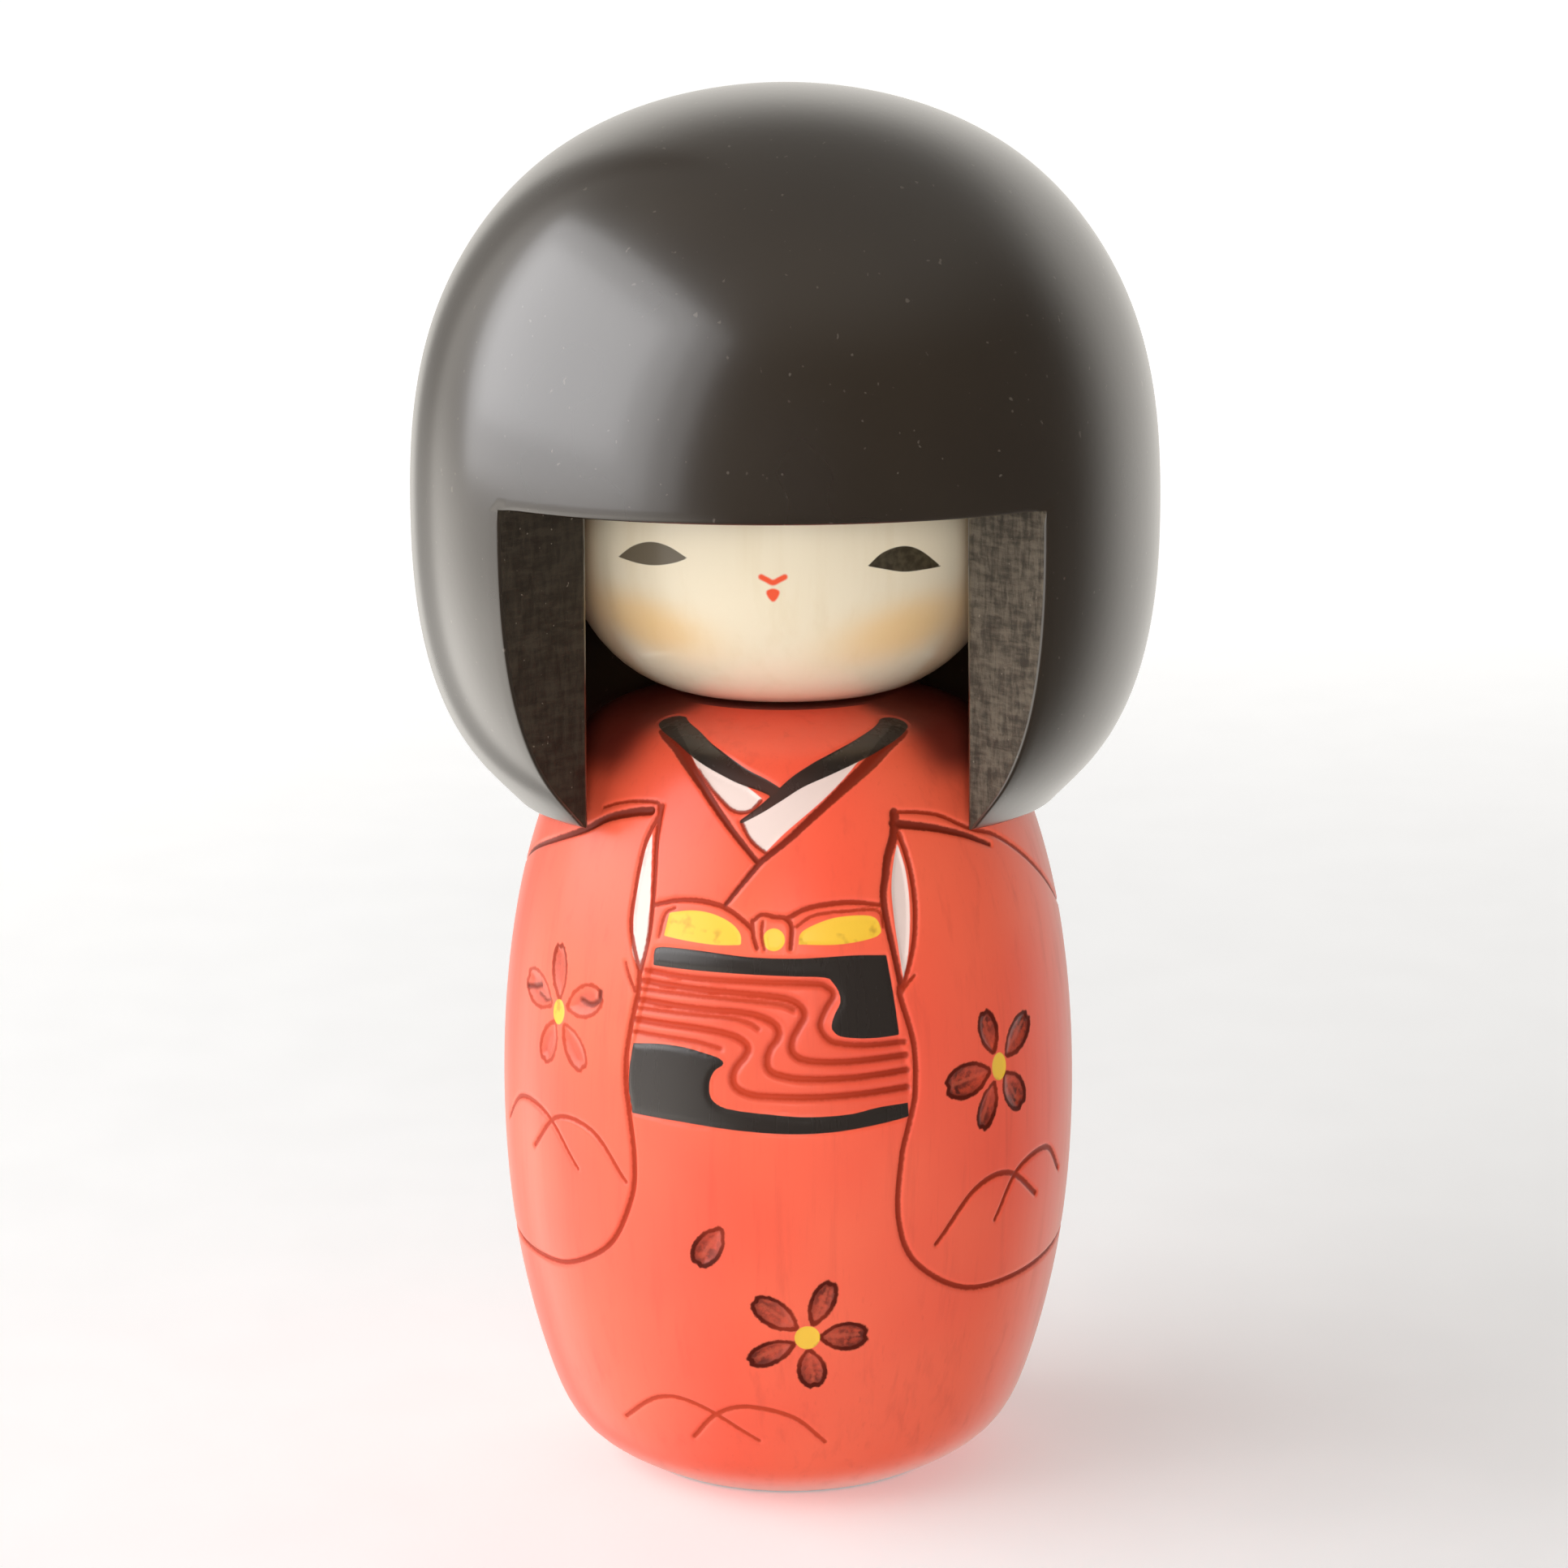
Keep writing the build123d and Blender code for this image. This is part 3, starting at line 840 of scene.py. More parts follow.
def wall_section(z, outer, bore, soft):
    """The wall's C-shaped section, from the middle of the right-hand cut out and round."""
    a, b = cut_point(bore), cut_point(outer)
    length = np.linalg.norm(b - a)
    e = (b - a) / length
    soft = min(soft, 0.3 * length)
    shares = np.arange(CUT_STEPS) / (CUT_STEPS - 1)
    cut = [a + e * (soft + f * (length - 2 * soft)) for f in shares]
    outer_start = angle_of(b) + math.degrees(soft / outer)
    bore_start = angle_of(a) + math.degrees(soft / bore)
    outer_arc = place(np.linspace(outer_start, 360 - outer_start, ARC_STEPS + 1), outer, z)
    bore_arc = place(np.linspace(360 - bore_start, bore_start, ARC_STEPS + 1), bore, z)
    out_half = [level_point(p, z) for p in cut[HALF_CUT:]]
    out_half += [level_point(bezier(cut[-1], b, outer_arc[0][:2], t), z) for t in CORNER]
    in_half = [level_point(p, z) for p in cut[:HALF_CUT][::-1]]
    in_half += [level_point(bezier(cut[0], a, bore_arc[-1][:2], t), z) for t in CORNER]
    mirror = np.array([-1.0, 1.0, 1.0])
    out_half, in_half = np.array(out_half), np.array(in_half)
    return np.vstack([out_half, outer_arc, out_half[::-1] * mirror, in_half * mirror, bore_arc,
                      in_half[::-1]])


def saw_marks(point, side):
    """Height of the sawn surface: crossing tool marks, torn grain and a few deeper nicks, in mm."""
    x, z = point[0], point[2]
    run = noise.noise(Vector((x * 2.4, side * 7.0, z * 0.5)))
    cross = noise.noise(Vector((x * 0.6 + 9.0, side * 5.0, z * 2.6)))
    fine = noise.noise(Vector((x * 3.1 + 30.0, side * 3.0, z * 3.3)))
    nick = max(0.0, noise.noise(Vector((x * 1.3 + 60.0, side, z * 1.7))) - 0.45)
    return 0.045 * run + 0.05 * cross + 0.03 * fine - 0.35 * nick


def roughen_cuts(sections, heights):
    """Moves the window cuts' inner points along the cuts' normals."""
    total = sections.shape[1]
    a = math.radians(WINDOW_SPLAY)
    normal = np.array([-math.cos(a), -math.sin(a), 0.0])
    right = [*range(HALF_CUT - 1), *range(total - HALF_CUT + 1, total)]
    for row, z in enumerate(heights):
        fade = rise(z, (RIM_Z + 0.4, RIM_Z + 1.4)) * smoothstep((FRINGE_Z - z) / 0.8)
        for i in right:
            sections[row, i] += normal * saw_marks(sections[row, i], 1.0) * fade
        for i in range(LEFT_CUT + 1, LEFT_CUT + CUT_STEPS - 1):
            marks = LEFT_MARKS * saw_marks(sections[row, i], -1.0)
            sections[row, i] += normal * [-1, 1, 1] * marks * fade


def wall_sections(outline):
    sections, heights = [], []
    for a in np.radians([90, 64, 38, 16]):
        z = RIM_Z + LIP_ROUND * (1 - math.sin(a))
        inset = LIP_ROUND * (1 - math.cos(a))
        sections.append(wall_section(z, outline.radius(z) - inset, bore_radius(z) + inset, EDGE_ROUND))
        heights.append(z)
    count = round((FRINGE_Z - RIM_Z - LIP_ROUND) / WALL_STEP)
    for z in np.linspace(RIM_Z + LIP_ROUND, FRINGE_Z, count):
        soft = EDGE_ROUND * float(smoothstep((FRINGE_Z - z) / EDGE_FADE))
        sections.append(wall_section(z, outline.radius(z), bore_radius(z), soft))
        heights.append(z)
    return np.array(sections), np.array(heights)


class Patches:
    """Grids of points that are welded into one mesh."""

    def __init__(self):
        self.points, self.faces, self.kinds, self.count = [], [], [], 0

    def grid(self, rows, closed=False, kind=None):
        """rows: array (rows, columns, 3); kind says the material of each column's faces."""
        rows = np.asarray(rows, float)
        n, m = rows.shape[:2]
        base = self.count
        self.points.append(rows.reshape(-1, 3))
        self.count += n * m
        for j in range(n - 1):
            for i in range(m if closed else m - 1):
                k = (i + 1) % m
                self.faces.append([base + j * m + i, base + j * m + k, base + (j + 1) * m + k,
                                   base + (j + 1) * m + i])
                self.kinds.append(kind[i] if kind is not None else 0)

    def welded(self, name, distance, sharp_degrees):
        mesh = bpy.data.meshes.new(name)
        mesh.from_pydata((np.vstack(self.points) * MM).tolist(), [], self.faces)
        mesh.polygons.foreach_set("material_index", self.kinds)
        bm = bmesh.new()
        bm.from_mesh(mesh)
        bmesh.ops.remove_doubles(bm, verts=bm.verts, dist=distance * MM)
        bmesh.ops.recalc_face_normals(bm, faces=bm.faces)
        bm.to_mesh(mesh)
        bm.free()
        return smoothed(name, mesh, sharp_degrees)


def cut_kinds(total):
    """Material of each column of the wall: 1 on the sawn cuts."""
    sawn = {*range(HALF_CUT - 1), *range(total - HALF_CUT, total),
            *range(LEFT_CUT, LEFT_CUT + CUT_STEPS - 1)}
    return [int(i in sawn) for i in range(total)]


def fringe_section(outline, share):
    """From the crown's surface down round the fringe's lower edge, in under it and up the bore."""
    b_angle = angle_of(cut_point(outline.radius(FRINGE_Z)))
    a_angle = angle_of(cut_point(bore_radius(FRINGE_Z)))
    fade = float(smoothstep((0.5 - abs(share - 0.5)) / FRINGE_FADE))
    outer_soft, inner_soft = FRINGE_ROUND * fade, FRINGE_INNER_ROUND * fade
    outer_angle, bore_angle = b_angle * (2 * share - 1), a_angle * (2 * share - 1)
    edge = place(outer_angle, outline.radius(FRINGE_Z), FRINGE_Z)
    root = place(bore_angle, bore_radius(FRINGE_Z), FRINGE_Z)
    crown = place(outer_angle, outline.radius(FRINGE_Z + outer_soft), FRINGE_Z + outer_soft)
    inner = place(bore_angle, bore_radius(FRINGE_Z + inner_soft), FRINGE_Z + inner_soft)
    length = np.linalg.norm(edge - root)
    e = (edge - root) / length
    shares = np.arange(CUT_STEPS) / (CUT_STEPS - 1)
    under = [root + e * (inner_soft + f * (length - inner_soft - outer_soft)) for f in shares]
    section = [crown] + [bezier(crown, edge, under[-1], t) for t in CORNER] + under[::-1]
    return section + [bezier(under[0], root, inner, t) for t in CORNER] + [inner]


def rings_from(patches, first, line):
    """A grid from a row of points through circles of (radius, height)."""
    angles = np.degrees(np.arctan2(first[:, 0], -first[:, 1]))
    patches.grid([first] + [place(angles, radius, z) for radius, z in line], closed=True)


def bore_line():
    """From just above the window's edge up the bore, in along its ceiling and up the dowel hole."""
    line = [(bore_radius(z), z) for z in (FRINGE_Z + BORE_FOOT, BORE_TOP_Z - BORE_CORNER_R)]
    for a in np.radians(np.linspace(0, 90, 7)):
        line.append((BORE_TOP_R - BORE_CORNER_R * (1 - math.cos(a)),
                     BORE_TOP_Z - BORE_CORNER_R * (1 - math.sin(a))))
    return line + [(12.0, BORE_TOP_Z), (DOWEL_R + 0.3, BORE_TOP_Z), (DOWEL_R, BORE_TOP_Z + 0.3),
                   (DOWEL_R, DOWEL_TOP_Z), (0.0, DOWEL_TOP_Z)]


def make_hair():
    outline = hair_outline()
    patches = Patches()
    sections, heights = wall_sections(outline)
    total = sections.shape[1]
    roughen_cuts(sections, heights)
    patches.grid(sections, closed=True, kind=cut_kinds(total))
    lip = np.stack([sections[0][:total // 2], sections[0][::-1][:total // 2]])
    patches.grid(lip)
    fringe = np.array([fringe_section(outline, c / FRINGE_STEPS) for c in range(FRINGE_STEPS + 1)])
    patches.grid(fringe)
    half = HALF_CUT + len(CORNER)
    outer_arc = sections[-1][half:half + ARC_STEPS + 1]
    bore_arc = sections[-1][total - half - ARC_STEPS - 1:total - half][::-1]
    # crown
    start, end = outline.length_at(FRINGE_Z), outline.length[-1]
    steps = np.linspace(start, end, round((end - start) / CROWN_STEP))[1:]
    rings_from(patches, np.vstack([outer_arc, fringe[1:-1, 0]]), [outline.at(s) for s in steps])
    # bore above the window, ceiling and dowel hole
    rings_from(patches, np.vstack([bore_arc, fringe[1:-1, -1]]), bore_line())
    return patches.welded("hair_bell", 0.002, 38)


# ---- materials -----------------------------------------------------------------------------
def linear(code):
    """Linear colour of an sRGB hex code."""
    parts = [int(code[i:i + 2], 16) / 255 for i in (0, 2, 4)]
    return [c / 12.92 if c <= 0.04045 else ((c + 0.055) / 1.055)**2.4 for c in parts] + [1.0]


class Nodes:
    """Short calls for a node tree, whose noise and axes read one of the texture coordinates."""

    def __init__(self, tree, coordinates):
        self.tree = tree
        self.coords = self.node("TexCoord").outputs[coordinates]

    def link(self, value, socket):
        if isinstance(value, bpy.types.NodeSocket):
            self.tree.links.new(value, socket)
        else:
            socket.default_value = value

    def node(self, kind, *values, **settings):
        """A node with the settings, its first sockets linked or set to the values."""
        node = self.tree.nodes.new("ShaderNode" + kind)
        for name, setting in settings.items():
            setattr(node, name, setting)
        for value, socket in zip(values, node.inputs):
            self.link(value, socket)
        return node

    def attribute(self, name):
        return self.node("Attribute", attribute_name=name).outputs["Fac"]

    def axis(self, name):
        return self.node("SeparateXYZ", self.coords).outputs[name]

    def dot(self, direction):
        """How far the coordinates point in a direction."""
        node = self.node("VectorMath", self.coords, direction, operation="DOT_PRODUCT")
        return node.outputs["Value"]

    def math(self, operation, *values):
        return self.node("Math", *values, operation=operation).outputs[0]

    def add(self, a, b):
        return self.math("ADD", a, b)

    def times(self, a, b):
        return self.math("MULTIPLY", a, b)

    def spread(self, value, low, high, to_low=0.0, to_high=1.0):
        """Smooth step of value from low to high."""
        node = self.node("MapRange", value, low, high, to_low, to_high,
                         interpolation_type="SMOOTHSTEP")
        return node.outputs["Result"]

    def mix(self, share, a, b):
        node = self.node("Mix", share, data_type="RGBA")
        self.link(a, node.inputs[6])
        self.link(b, node.inputs[7])
        return node.outputs[2]

    def noise(self, scale, detail=3.0, roughness=0.5, stretch=(1.0, 1.0, 1.0), distortion=0.0):
        """Noise in the coordinates; scale is for each metre."""
        mapping = self.node("Mapping", self.coords)
        mapping.inputs["Scale"].default_value = stretch
        node = self.node("TexNoise", mapping.outputs[0])
        for name, value in (("Scale", scale), ("Detail", detail), ("Roughness", roughness),
                            ("Distortion", distortion)):
            node.inputs[name].default_value = value
        return node.outputs["Fac"]


class Paint(Nodes):
    """A material whose base colour is built up in layers."""

    def __init__(self, name):
        self.material = bpy.data.materials.new(name)
        self.material.use_nodes = True
        super().__init__(self.material.node_tree, "Object")
        self.shader = self.tree.nodes["Principled BSDF"]
        self.colour = None

    def set(self, **values):
        for name, value in values.items():
            self.link(value, self.shader.inputs[name.replace("_", " ")])

    def layer(self, share, colour):
        """Covers a share of what is there with a colour."""
        self.colour = self.mix(share, self.colour, colour)

    def inside(self, name, outer=0.05, inner=-0.07):
        """1 inside the drawn edge that an attribute measures, in mm."""
        return self.spread(self.attribute(name), outer, inner)

    def finished(self, relief, distance, strength):
        """The material with its colour and a bump."""
        bump = self.node("Bump")
        bump.inputs["Strength"].default_value = strength
        bump.inputs["Distance"].default_value = distance
        self.link(relief, bump.inputs["Height"])
        self.set(Normal=bump.outputs[0], Base_Color=self.colour)
        return self.material


CORAL = linear("F4593E")
CORAL_DEEP = linear("C4412B")
CORAL_PALE = linear("F96A4A")
LINE_LIGHT = linear("BE3E22")
LINE_MIDDLE = linear("922A14")
LINE_DARK = linear("3A140B")
BLACK_PAINT = linear("2B2420")
BROWN_PAINT = linear("542619")
WHITE_PAINT = linear("E9D2CA")
YELLOW_PAINT = linear("F3C23A")
YELLOW_DEEP = linear("B98226")
PETAL_DARK = linear("561508")
PETAL_MID = linear("A8381F")
PETAL_PALE = linear("B24A30")
# colour of the painted shade on the shoulders under the hair
SHOULDER_SHADE_PAINT = linear("4A1A18")
FACE_PALE = linear("E2D5BB")
FACE_GRAIN = linear("D8C7A6")
# colour of the painted shade on the face's sides
FACE_SIDE_PAINTED_SHADE = linear("CF9A58")
BLUSH_PAINT = linear("EAB350")
LIP_PAINT = linear("E8512B")
INK = linear("332B1E")
INK_WORN = linear("4A4232")
# the left eye's paler ink is a painted reflection
INK_PAINTED_REFLECTION = linear("635949")  # the eye on the left is paler
HAIR_DARK = linear("241A10")
HAIR_BROWN = linear("2A2015")
DUST = linear("8A7F74")
# the left-hand cut is painted darker as in shade, the right-hand one lighter as lit by the window
SAWN_SHADED_PAINT = linear("251F18"), linear("3C352B")  # in the marks and between them
SAWN_LIT_PAINT = linear("332D25"), linear("665D50")
SAWN_FLECK = linear("9A8F80")
WOOD_PALE = linear("D9BD93")
WOOD_GRAIN = linear("B89367")
WOOD_RINGS = linear("9C764B")


def stain(m, grain, pores):
    """Coral stain that gathers in the grain and the cuts, with painted shade on the shoulders under the
    hair.
    """
    m.colour = m.mix(m.spread(m.noise(34, 2, 0.5), 0.3, 0.7), CORAL, CORAL_PALE)
    m.layer(m.spread(grain, 0.5, 0.8, 0, 0.3), CORAL_DEEP)
    m.layer(m.spread(pores, 0.62, 0.8, 0, 0.16), CORAL_DEEP)
    m.layer(m.spread(m.attribute("depth"), 0.04, 0.4, 0, 0.5), CORAL_DEEP)
    # painted shade on the shoulders under the hair
    m.layer(m.spread(m.attribute("painted_shade"), 0.0, 1.0, 0, 0.85), SHOULDER_SHADE_PAINT)


def paint_petals(m):
    """A dark wash with a paler streak, thin where fill is low. Returns the shares of rim and dabs."""
    petal, fill = m.attribute("petal"), m.attribute("fill")
    streak = m.noise(1500, 3, 0.6)
    ragged = m.times(m.math("SUBTRACT", streak, 0.5), 0.4)
    inner = m.mix(m.spread(m.noise(1000, 3, 0.65), 0.42, 0.6), PETAL_DARK, PETAL_MID)
    inner = m.mix(m.spread(petal, -0.9, -0.3), inner, PETAL_DARK)
    vein = m.add(m.attribute("vein"), ragged)
    inner = m.mix(m.spread(vein, 0.32, 0.08, 0, 0.75), inner, PETAL_PALE)
    wash = m.times(fill, m.spread(petal, 0.08, -0.08))
    m.layer(m.times(wash, m.spread(streak, 0.3, 0.6, 0.7, 1.0)), inner)
    rim = m.spread(m.add(m.math("ABSOLUTE", m.add(petal, 0.14)), ragged), 0.34, 0.12)
    rim = m.times(rim, m.spread(fill, 0.0, 0.6, 0.75, 1.0))
    m.layer(rim, m.mix(m.spread(fill, 0.0, 0.85), LINE_LIGHT, PETAL_DARK))
    dab = m.spread(m.add(m.attribute("dab"), ragged), 0.2, -0.35, 0, 0.75)
    m.layer(dab, PETAL_DARK)
    return rim, dab


def paint_cuts(m):
    """The obi's channels and the brown lines, a little uneven. Returns the shares of both."""
    uneven = m.times(m.math("SUBTRACT", m.noise(2200, 2, 0.6), 0.5), 0.18)
    stripe = m.spread(m.add(m.attribute("stripe"), uneven), 0.2, -0.12, 0, 0.9)
    m.layer(stripe, m.mix(m.spread(m.axis("X"), -0.002, 0.016), LINE_LIGHT, LINE_MIDDLE))
    tone = m.attribute("tone")
    shade = m.mix(m.spread(tone, 0.0, 0.45), LINE_LIGHT, LINE_MIDDLE)
    shade = m.mix(m.spread(tone, 0.45, 1.0), shade, LINE_DARK)
    line = m.spread(m.add(m.attribute("line"), uneven), 0.12, -0.1, 0, 0.93)
    m.layer(line, shade)
    return stripe, line


def body_material():
    m = Paint("stained_body")
    grain = m.noise(520, 5, 0.6, (1, 1, 0.06), 0.3)
    pores = m.noise(2600, 2, 0.5, (1, 1, 0.05))
    stain(m, grain, pores)
    rim, dab = paint_petals(m)
    m.layer(m.inside("white"), WHITE_PAINT)
    fleck = m.spread(m.noise(620, 2, 0.5), 0.56, 0.72, 0, 0.6)
    m.layer(m.inside("yellow"), m.mix(fleck, YELLOW_PAINT, YELLOW_DEEP))
    stripe, line = paint_cuts(m)
    # black lacquer, thinner and browner where the collars cross
    black = m.inside("black", 0.05, -0.05)
    m.layer(black, m.mix(m.attribute("black_tone"), BROWN_PAINT, BLACK_PAINT))
    # paint sunk in the cuts is dull, and the lacquer is glossier than the stain
    sunk = m.math("MAXIMUM", m.math("MAXIMUM", line, stripe), m.math("MAXIMUM", rim, dab))
    rough = m.spread(grain, 0.3, 0.8, 0.4, 0.48)
    gloss = m.spread(sunk, 0.0, 1.0, 0.6, 0.15)
    m.set(Roughness=m.math("SUBTRACT", rough, m.times(black, 0.16)))
    m.set(Coat_Weight=m.add(gloss, m.times(black, 0.4)), Coat_Roughness=0.28)
    m.set(Specular_IOR_Level=m.spread(sunk, 0.0, 1.0, 0.4, 0.15))
    relief = m.add(m.times(grain, 0.6), m.times(pores, 0.4))
    return m.finished(m.times(relief, m.spread(black, 0.0, 1.0, 1.0, 0.25)), 0.00003, 0.6)


def face_material():
    m = Paint("face_lacquer")
    grain = m.noise(420, 4, 0.6, (1, 1, 0.08), 0.2)
    m.colour = m.mix(m.spread(grain, 0.45, 0.8, 0, 0.4), FACE_PALE, FACE_GRAIN)
    # painted shade on the face's sides, by the hair
    m.layer(m.spread(m.attribute("shade"), 0.0, 1.0, 0, 0.4), FACE_SIDE_PAINTED_SHADE)
    m.layer(m.spread(m.attribute("blush"), 0.08, 1.0, 0, 0.5), BLUSH_PAINT)
    m.layer(m.inside("lips", 0.12, -0.14), LIP_PAINT)
    ink = m.mix(m.spread(m.noise(1600, 2, 0.5), 0.3, 0.7), INK, INK_WORN)
    # the left eye is paler with a painted reflection
    m.layer(m.inside("eye"), m.mix(m.spread(m.axis("X"), -0.006, 0.006), INK_PAINTED_REFLECTION, ink))
    m.set(Roughness=m.spread(grain, 0.3, 0.8, 0.32, 0.42))
    m.set(Coat_Weight=0.5, Coat_Roughness=0.12, Specular_IOR_Level=0.45)
    return m.finished(m.noise(700, 3, 0.5), 0.00003, 0.6)


def hair_material():
    m = Paint("hair_lacquer")
    cloud = m.noise(26, 3, 0.5)
    m.colour = m.mix(m.spread(cloud, 0.35, 0.7), HAIR_DARK, HAIR_BROWN)
    m.layer(m.spread(m.noise(1500, 1, 0.3), 0.76, 0.79, 0, 0.25), DUST)
    m.set(Roughness=m.spread(cloud, 0.3, 0.7, 0.26, 0.3), Specular_IOR_Level=0.95)
    m.set(Coat_Weight=1.0, Coat_Roughness=0.18, Coat_IOR=1.65)
    return m.finished(m.noise(900, 3, 0.5), 0.00002, 0.5)


def sawn_material():
    m = Paint("hair_sawn")
    marks = m.noise(1500, 5, 0.7, (1, 1, 0.22), 0.4)
    cross = m.noise(1300, 4, 0.65, (0.25, 0.25, 1), 0.3)
    both = m.add(m.times(marks, 0.5), m.times(cross, 0.5))
    left, right = (m.mix(m.spread(both, 0.38, 0.64), *tints) for tints in (SAWN_SHADED_PAINT, SAWN_LIT_PAINT))
    # painted shade on the left-hand cut, painted light on the right-hand one
    m.colour = m.mix(m.spread(m.axis("X"), -0.01, 0.01), left, right)
    m.layer(m.spread(m.noise(1900, 1, 0.4), 0.76, 0.8, 0, 0.4), SAWN_FLECK)
    m.set(Roughness=m.spread(both, 0.35, 0.65, 0.62, 0.8), Specular_IOR_Level=0.4)
    return m.finished(both, 0.00018, 0.9)


def bare_wood_material():
    m = Paint("bare_wood")
    grain = m.noise(700, 5, 0.6, (1, 1, 0.05), 0.5)
    rings = m.noise(240, 2, 0.5, (1, 1, 0.1), 0.8)
    m.colour = m.mix(m.spread(grain, 0.35, 0.7), WOOD_PALE, WOOD_GRAIN)
    m.layer(m.spread(rings, 0.5, 0.7, 0, 0.4), WOOD_RINGS)
    m.set(Roughness=m.spread(grain, 0.3, 0.8, 0.5, 0.66))
    return m.finished(grain, 0.00008, 0.7)


def grey(value):
    return value, value, value, 1.0


FLOOR_SHADE = linear("C9C5BF")
FLOOR_GLOW = (0.3, 0.8, 0.45)  # near the doll, far from it, and in the shade


def floor_material():
    """White paper that glows, with painted shade that falls off ahead of the doll and to its right."""
    m = Paint("floor_paper")
    shade = m.spread(m.dot((0.7071, -0.7071, 0)), 0.14, 0.6)
    m.colour = m.mix(m.spread(m.noise(60, 4, 0.6), 0.3, 0.7), grey(0.84), grey(0.87))
    m.layer(shade, FLOOR_SHADE)
    distance = m.node("VectorMath", m.coords, operation="LENGTH").outputs["Value"]
    near, far, dim = (grey(value) for value in FLOOR_GLOW)
    m.set(Emission_Color=m.mix(shade, m.mix(m.spread(distance, 0.12, 0.9), near, far), dim))
    m.set(Base_Color=m.colour, Roughness=0.9, Specular_IOR_Level=0.1, Emission_Strength=1.0)
    return m.material


def paint_cad_node(name, material):
    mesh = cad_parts[name].data
    mesh.materials.clear()
    mesh.materials.append(material)


# ---- stage ---------------------------------------------------------------------------------
EYE_DISTANCE = 0.4834  # from the doll's axis, level
EYE_HEIGHT = 0.1736
EYE_AZIMUTH = 2.8
EYE_PITCH = 11.55
EYE_YAW = 0.035
EYE_ROLL = 0.31
LENS = 104.6
# a big soft window at the left: name, direction, width, height, power
WINDOWS = [
    ("window_curtain", -69, 1.5, 0.86, 3.7),
    ("window_wide", -74, 1.22, 0.84, 2.8),
    ("window_core", -76, 0.92, 0.56, 1.55),
    ("window_middle", -76, 0.76, 0.32, 0.85),
]
WINDOW_REACH = 0.73
WINDOW_Z = 0.43
WINDOW_AIM = (0, 0, 0.1)
WINDOW_COLOUR = (0.985, 0.985, 1.0)
FILL_AT = (0.03, -0.6, 0.2)
FILL_AIM = (0, 0, 0.118)
FILL_SIZE = (0.5, 0.24)
FILL_POWER = 0.21
FILL_COLOUR = (1.0, 0.98, 0.95)
FILL_SPREAD = 25
WORLD_COLOUR = (1.0, 0.965, 0.9, 1.0)
WORLD_FRONT = 0.09
WORLD_BACK = 0.85
WORLD_TOP = 0.26
WORLD_SPILL = 1.3
POST_AZIMUTH = -143  # a dark post at the back left, which draws an arc on the hair
POST_WIDTH = 0.3
POST_TAPER = 0.12
POST_SOFTNESS = 0.06
POST_SHARE = 0.35  # of the light that is left in it
FLOOR_HALF = 30.0


def make_camera():
    data = bpy.data.cameras.new("camera")
    data.lens = LENS
    data.sensor_width = 36.0
    data.clip_start = 0.01
    data.clip_end = 20.0
    camera = linked("camera", data)
    a = math.radians(EYE_AZIMUTH)
    at = Vector((math.sin(a) * EYE_DISTANCE, -math.cos(a) * EYE_DISTANCE, EYE_HEIGHT))
    turn = Matrix.Rotation(math.radians(EYE_AZIMUTH + EYE_YAW), 4, "Z")
    tilt = Matrix.Rotation(math.radians(90 - EYE_PITCH), 4, "X")
    roll = Matrix.Rotation(math.radians(-EYE_ROLL), 4, "Z")
    camera.matrix_world = Matrix.Translation(at) @ turn @ tilt @ roll
    bpy.context.scene.camera = camera


def area_light(name, at, aim, width, height, power, colour):
    data = bpy.data.lights.new(name, "AREA")
    data.shape = "RECTANGLE"
    data.size = width
    data.size_y = height
    data.energy = power
    data.color = colour
    light = linked(name, data)
    light.location = at
    light.rotation_mode = "QUATERNION"
    light.rotation_quaternion = (Vector(aim) - Vector(at)).to_track_quat("-Z", "Y")
    return light


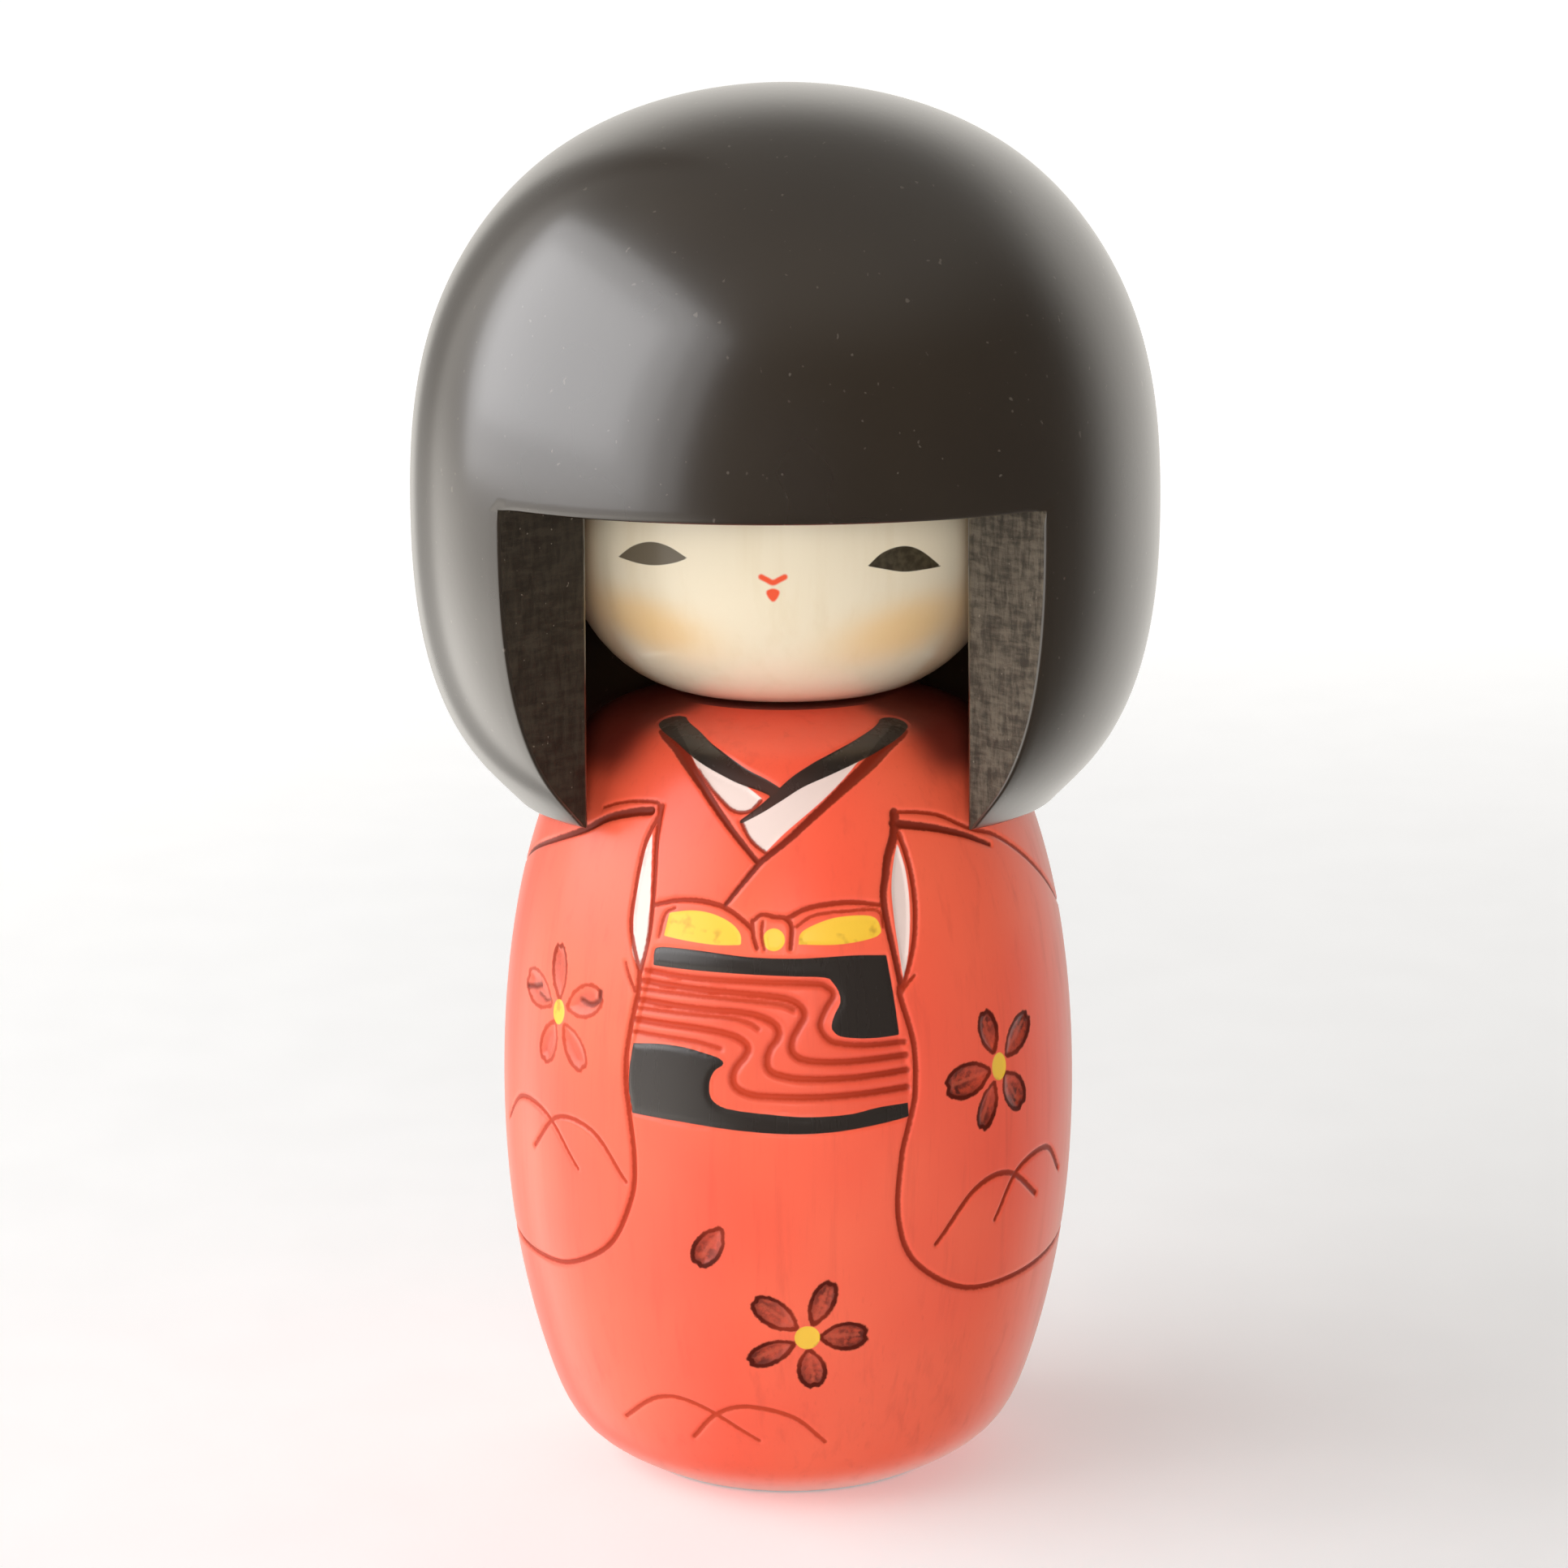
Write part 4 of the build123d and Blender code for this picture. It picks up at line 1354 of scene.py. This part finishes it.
def make_world():
    """A studio that is bright behind the doll, and darker towards its front and overhead."""
    world = bpy.data.worlds.new("studio")
    world.use_nodes = True
    m = Nodes(world.node_tree, "Generated")
    x, y, z = (m.axis(name) for name in "XYZ")
    level = m.times(m.spread(y, 0.15, 0.7, WORLD_FRONT, WORLD_BACK), m.spread(z, 0.4, 0.85, 1, 0))
    strength = m.add(level, m.spread(z, 0.4, 0.85, 0, WORLD_TOP))
    # the window's light spills below it, where the lacquer mirrors it
    spill = m.times(m.spread(x, -0.8, -0.2, 1, 0), m.spread(z, -0.32, 0.06, WORLD_SPILL, 0))
    strength = m.add(strength, spill)
    a = math.radians(POST_AZIMUTH)
    toward = m.dot((math.sin(a), -math.cos(a), 0))
    aside = m.math("ABSOLUTE", m.dot((math.cos(a), math.sin(a), 0)))
    beside = m.math("SUBTRACT", aside, m.times(toward, POST_WIDTH))
    edge = (-POST_TAPER - POST_SOFTNESS, -POST_TAPER + POST_SOFTNESS)
    strength = m.times(strength, m.spread(beside, *edge, POST_SHARE, 1))
    background = m.tree.nodes["Background"]
    m.link(WORLD_COLOUR, background.inputs["Color"])
    m.link(strength, background.inputs["Strength"])
    bpy.context.scene.world = world


def make_floor():
    mesh = bpy.data.meshes.new("floor")
    corners = [(x * FLOOR_HALF, y * FLOOR_HALF, 0) for x, y in ((-1, -1), (1, -1), (1, 1), (-1, 1))]
    mesh.from_pydata(corners, [], [(0, 1, 2, 3)])
    mesh.materials.append(floor_material())
    floor = linked("floor", mesh)
    floor.visible_glossy = False  # the lacquer mirrors the studio below as it does above


def make_stage():
    make_floor()
    make_world()
    for name, azimuth, width, height, power in WINDOWS:
        a = math.radians(azimuth)
        at = (WINDOW_REACH * math.sin(a), -WINDOW_REACH * math.cos(a), WINDOW_Z)
        area_light(name, at, WINDOW_AIM, width, height, power, WINDOW_COLOUR)
    # a narrow beam for the face and chest, which gives no highlight of its own
    fill = area_light("front_fill", FILL_AT, FILL_AIM, *FILL_SIZE, FILL_POWER, FILL_COLOUR)
    fill.data.spread = math.radians(FILL_SPREAD)
    fill.visible_glossy = False
    bpy.context.scene.view_settings.view_transform = "Standard"


# ---- build ---------------------------------------------------------------------------------
body = make_body()
body.data.materials.append(body_material())
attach(body, "torso")
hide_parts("body")

face = make_face()
face.data.materials.append(face_material())
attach(face, "head")
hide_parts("face")

hair = make_hair()
hair.data.materials.append(hair_material())
hair.data.materials.append(sawn_material())
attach(hair, "head")
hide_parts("hair")

bare_wood = bare_wood_material()
paint_cad_node("neck_peg", bare_wood)
paint_cad_node("crown_dowel", bare_wood)

make_stage()
make_camera()
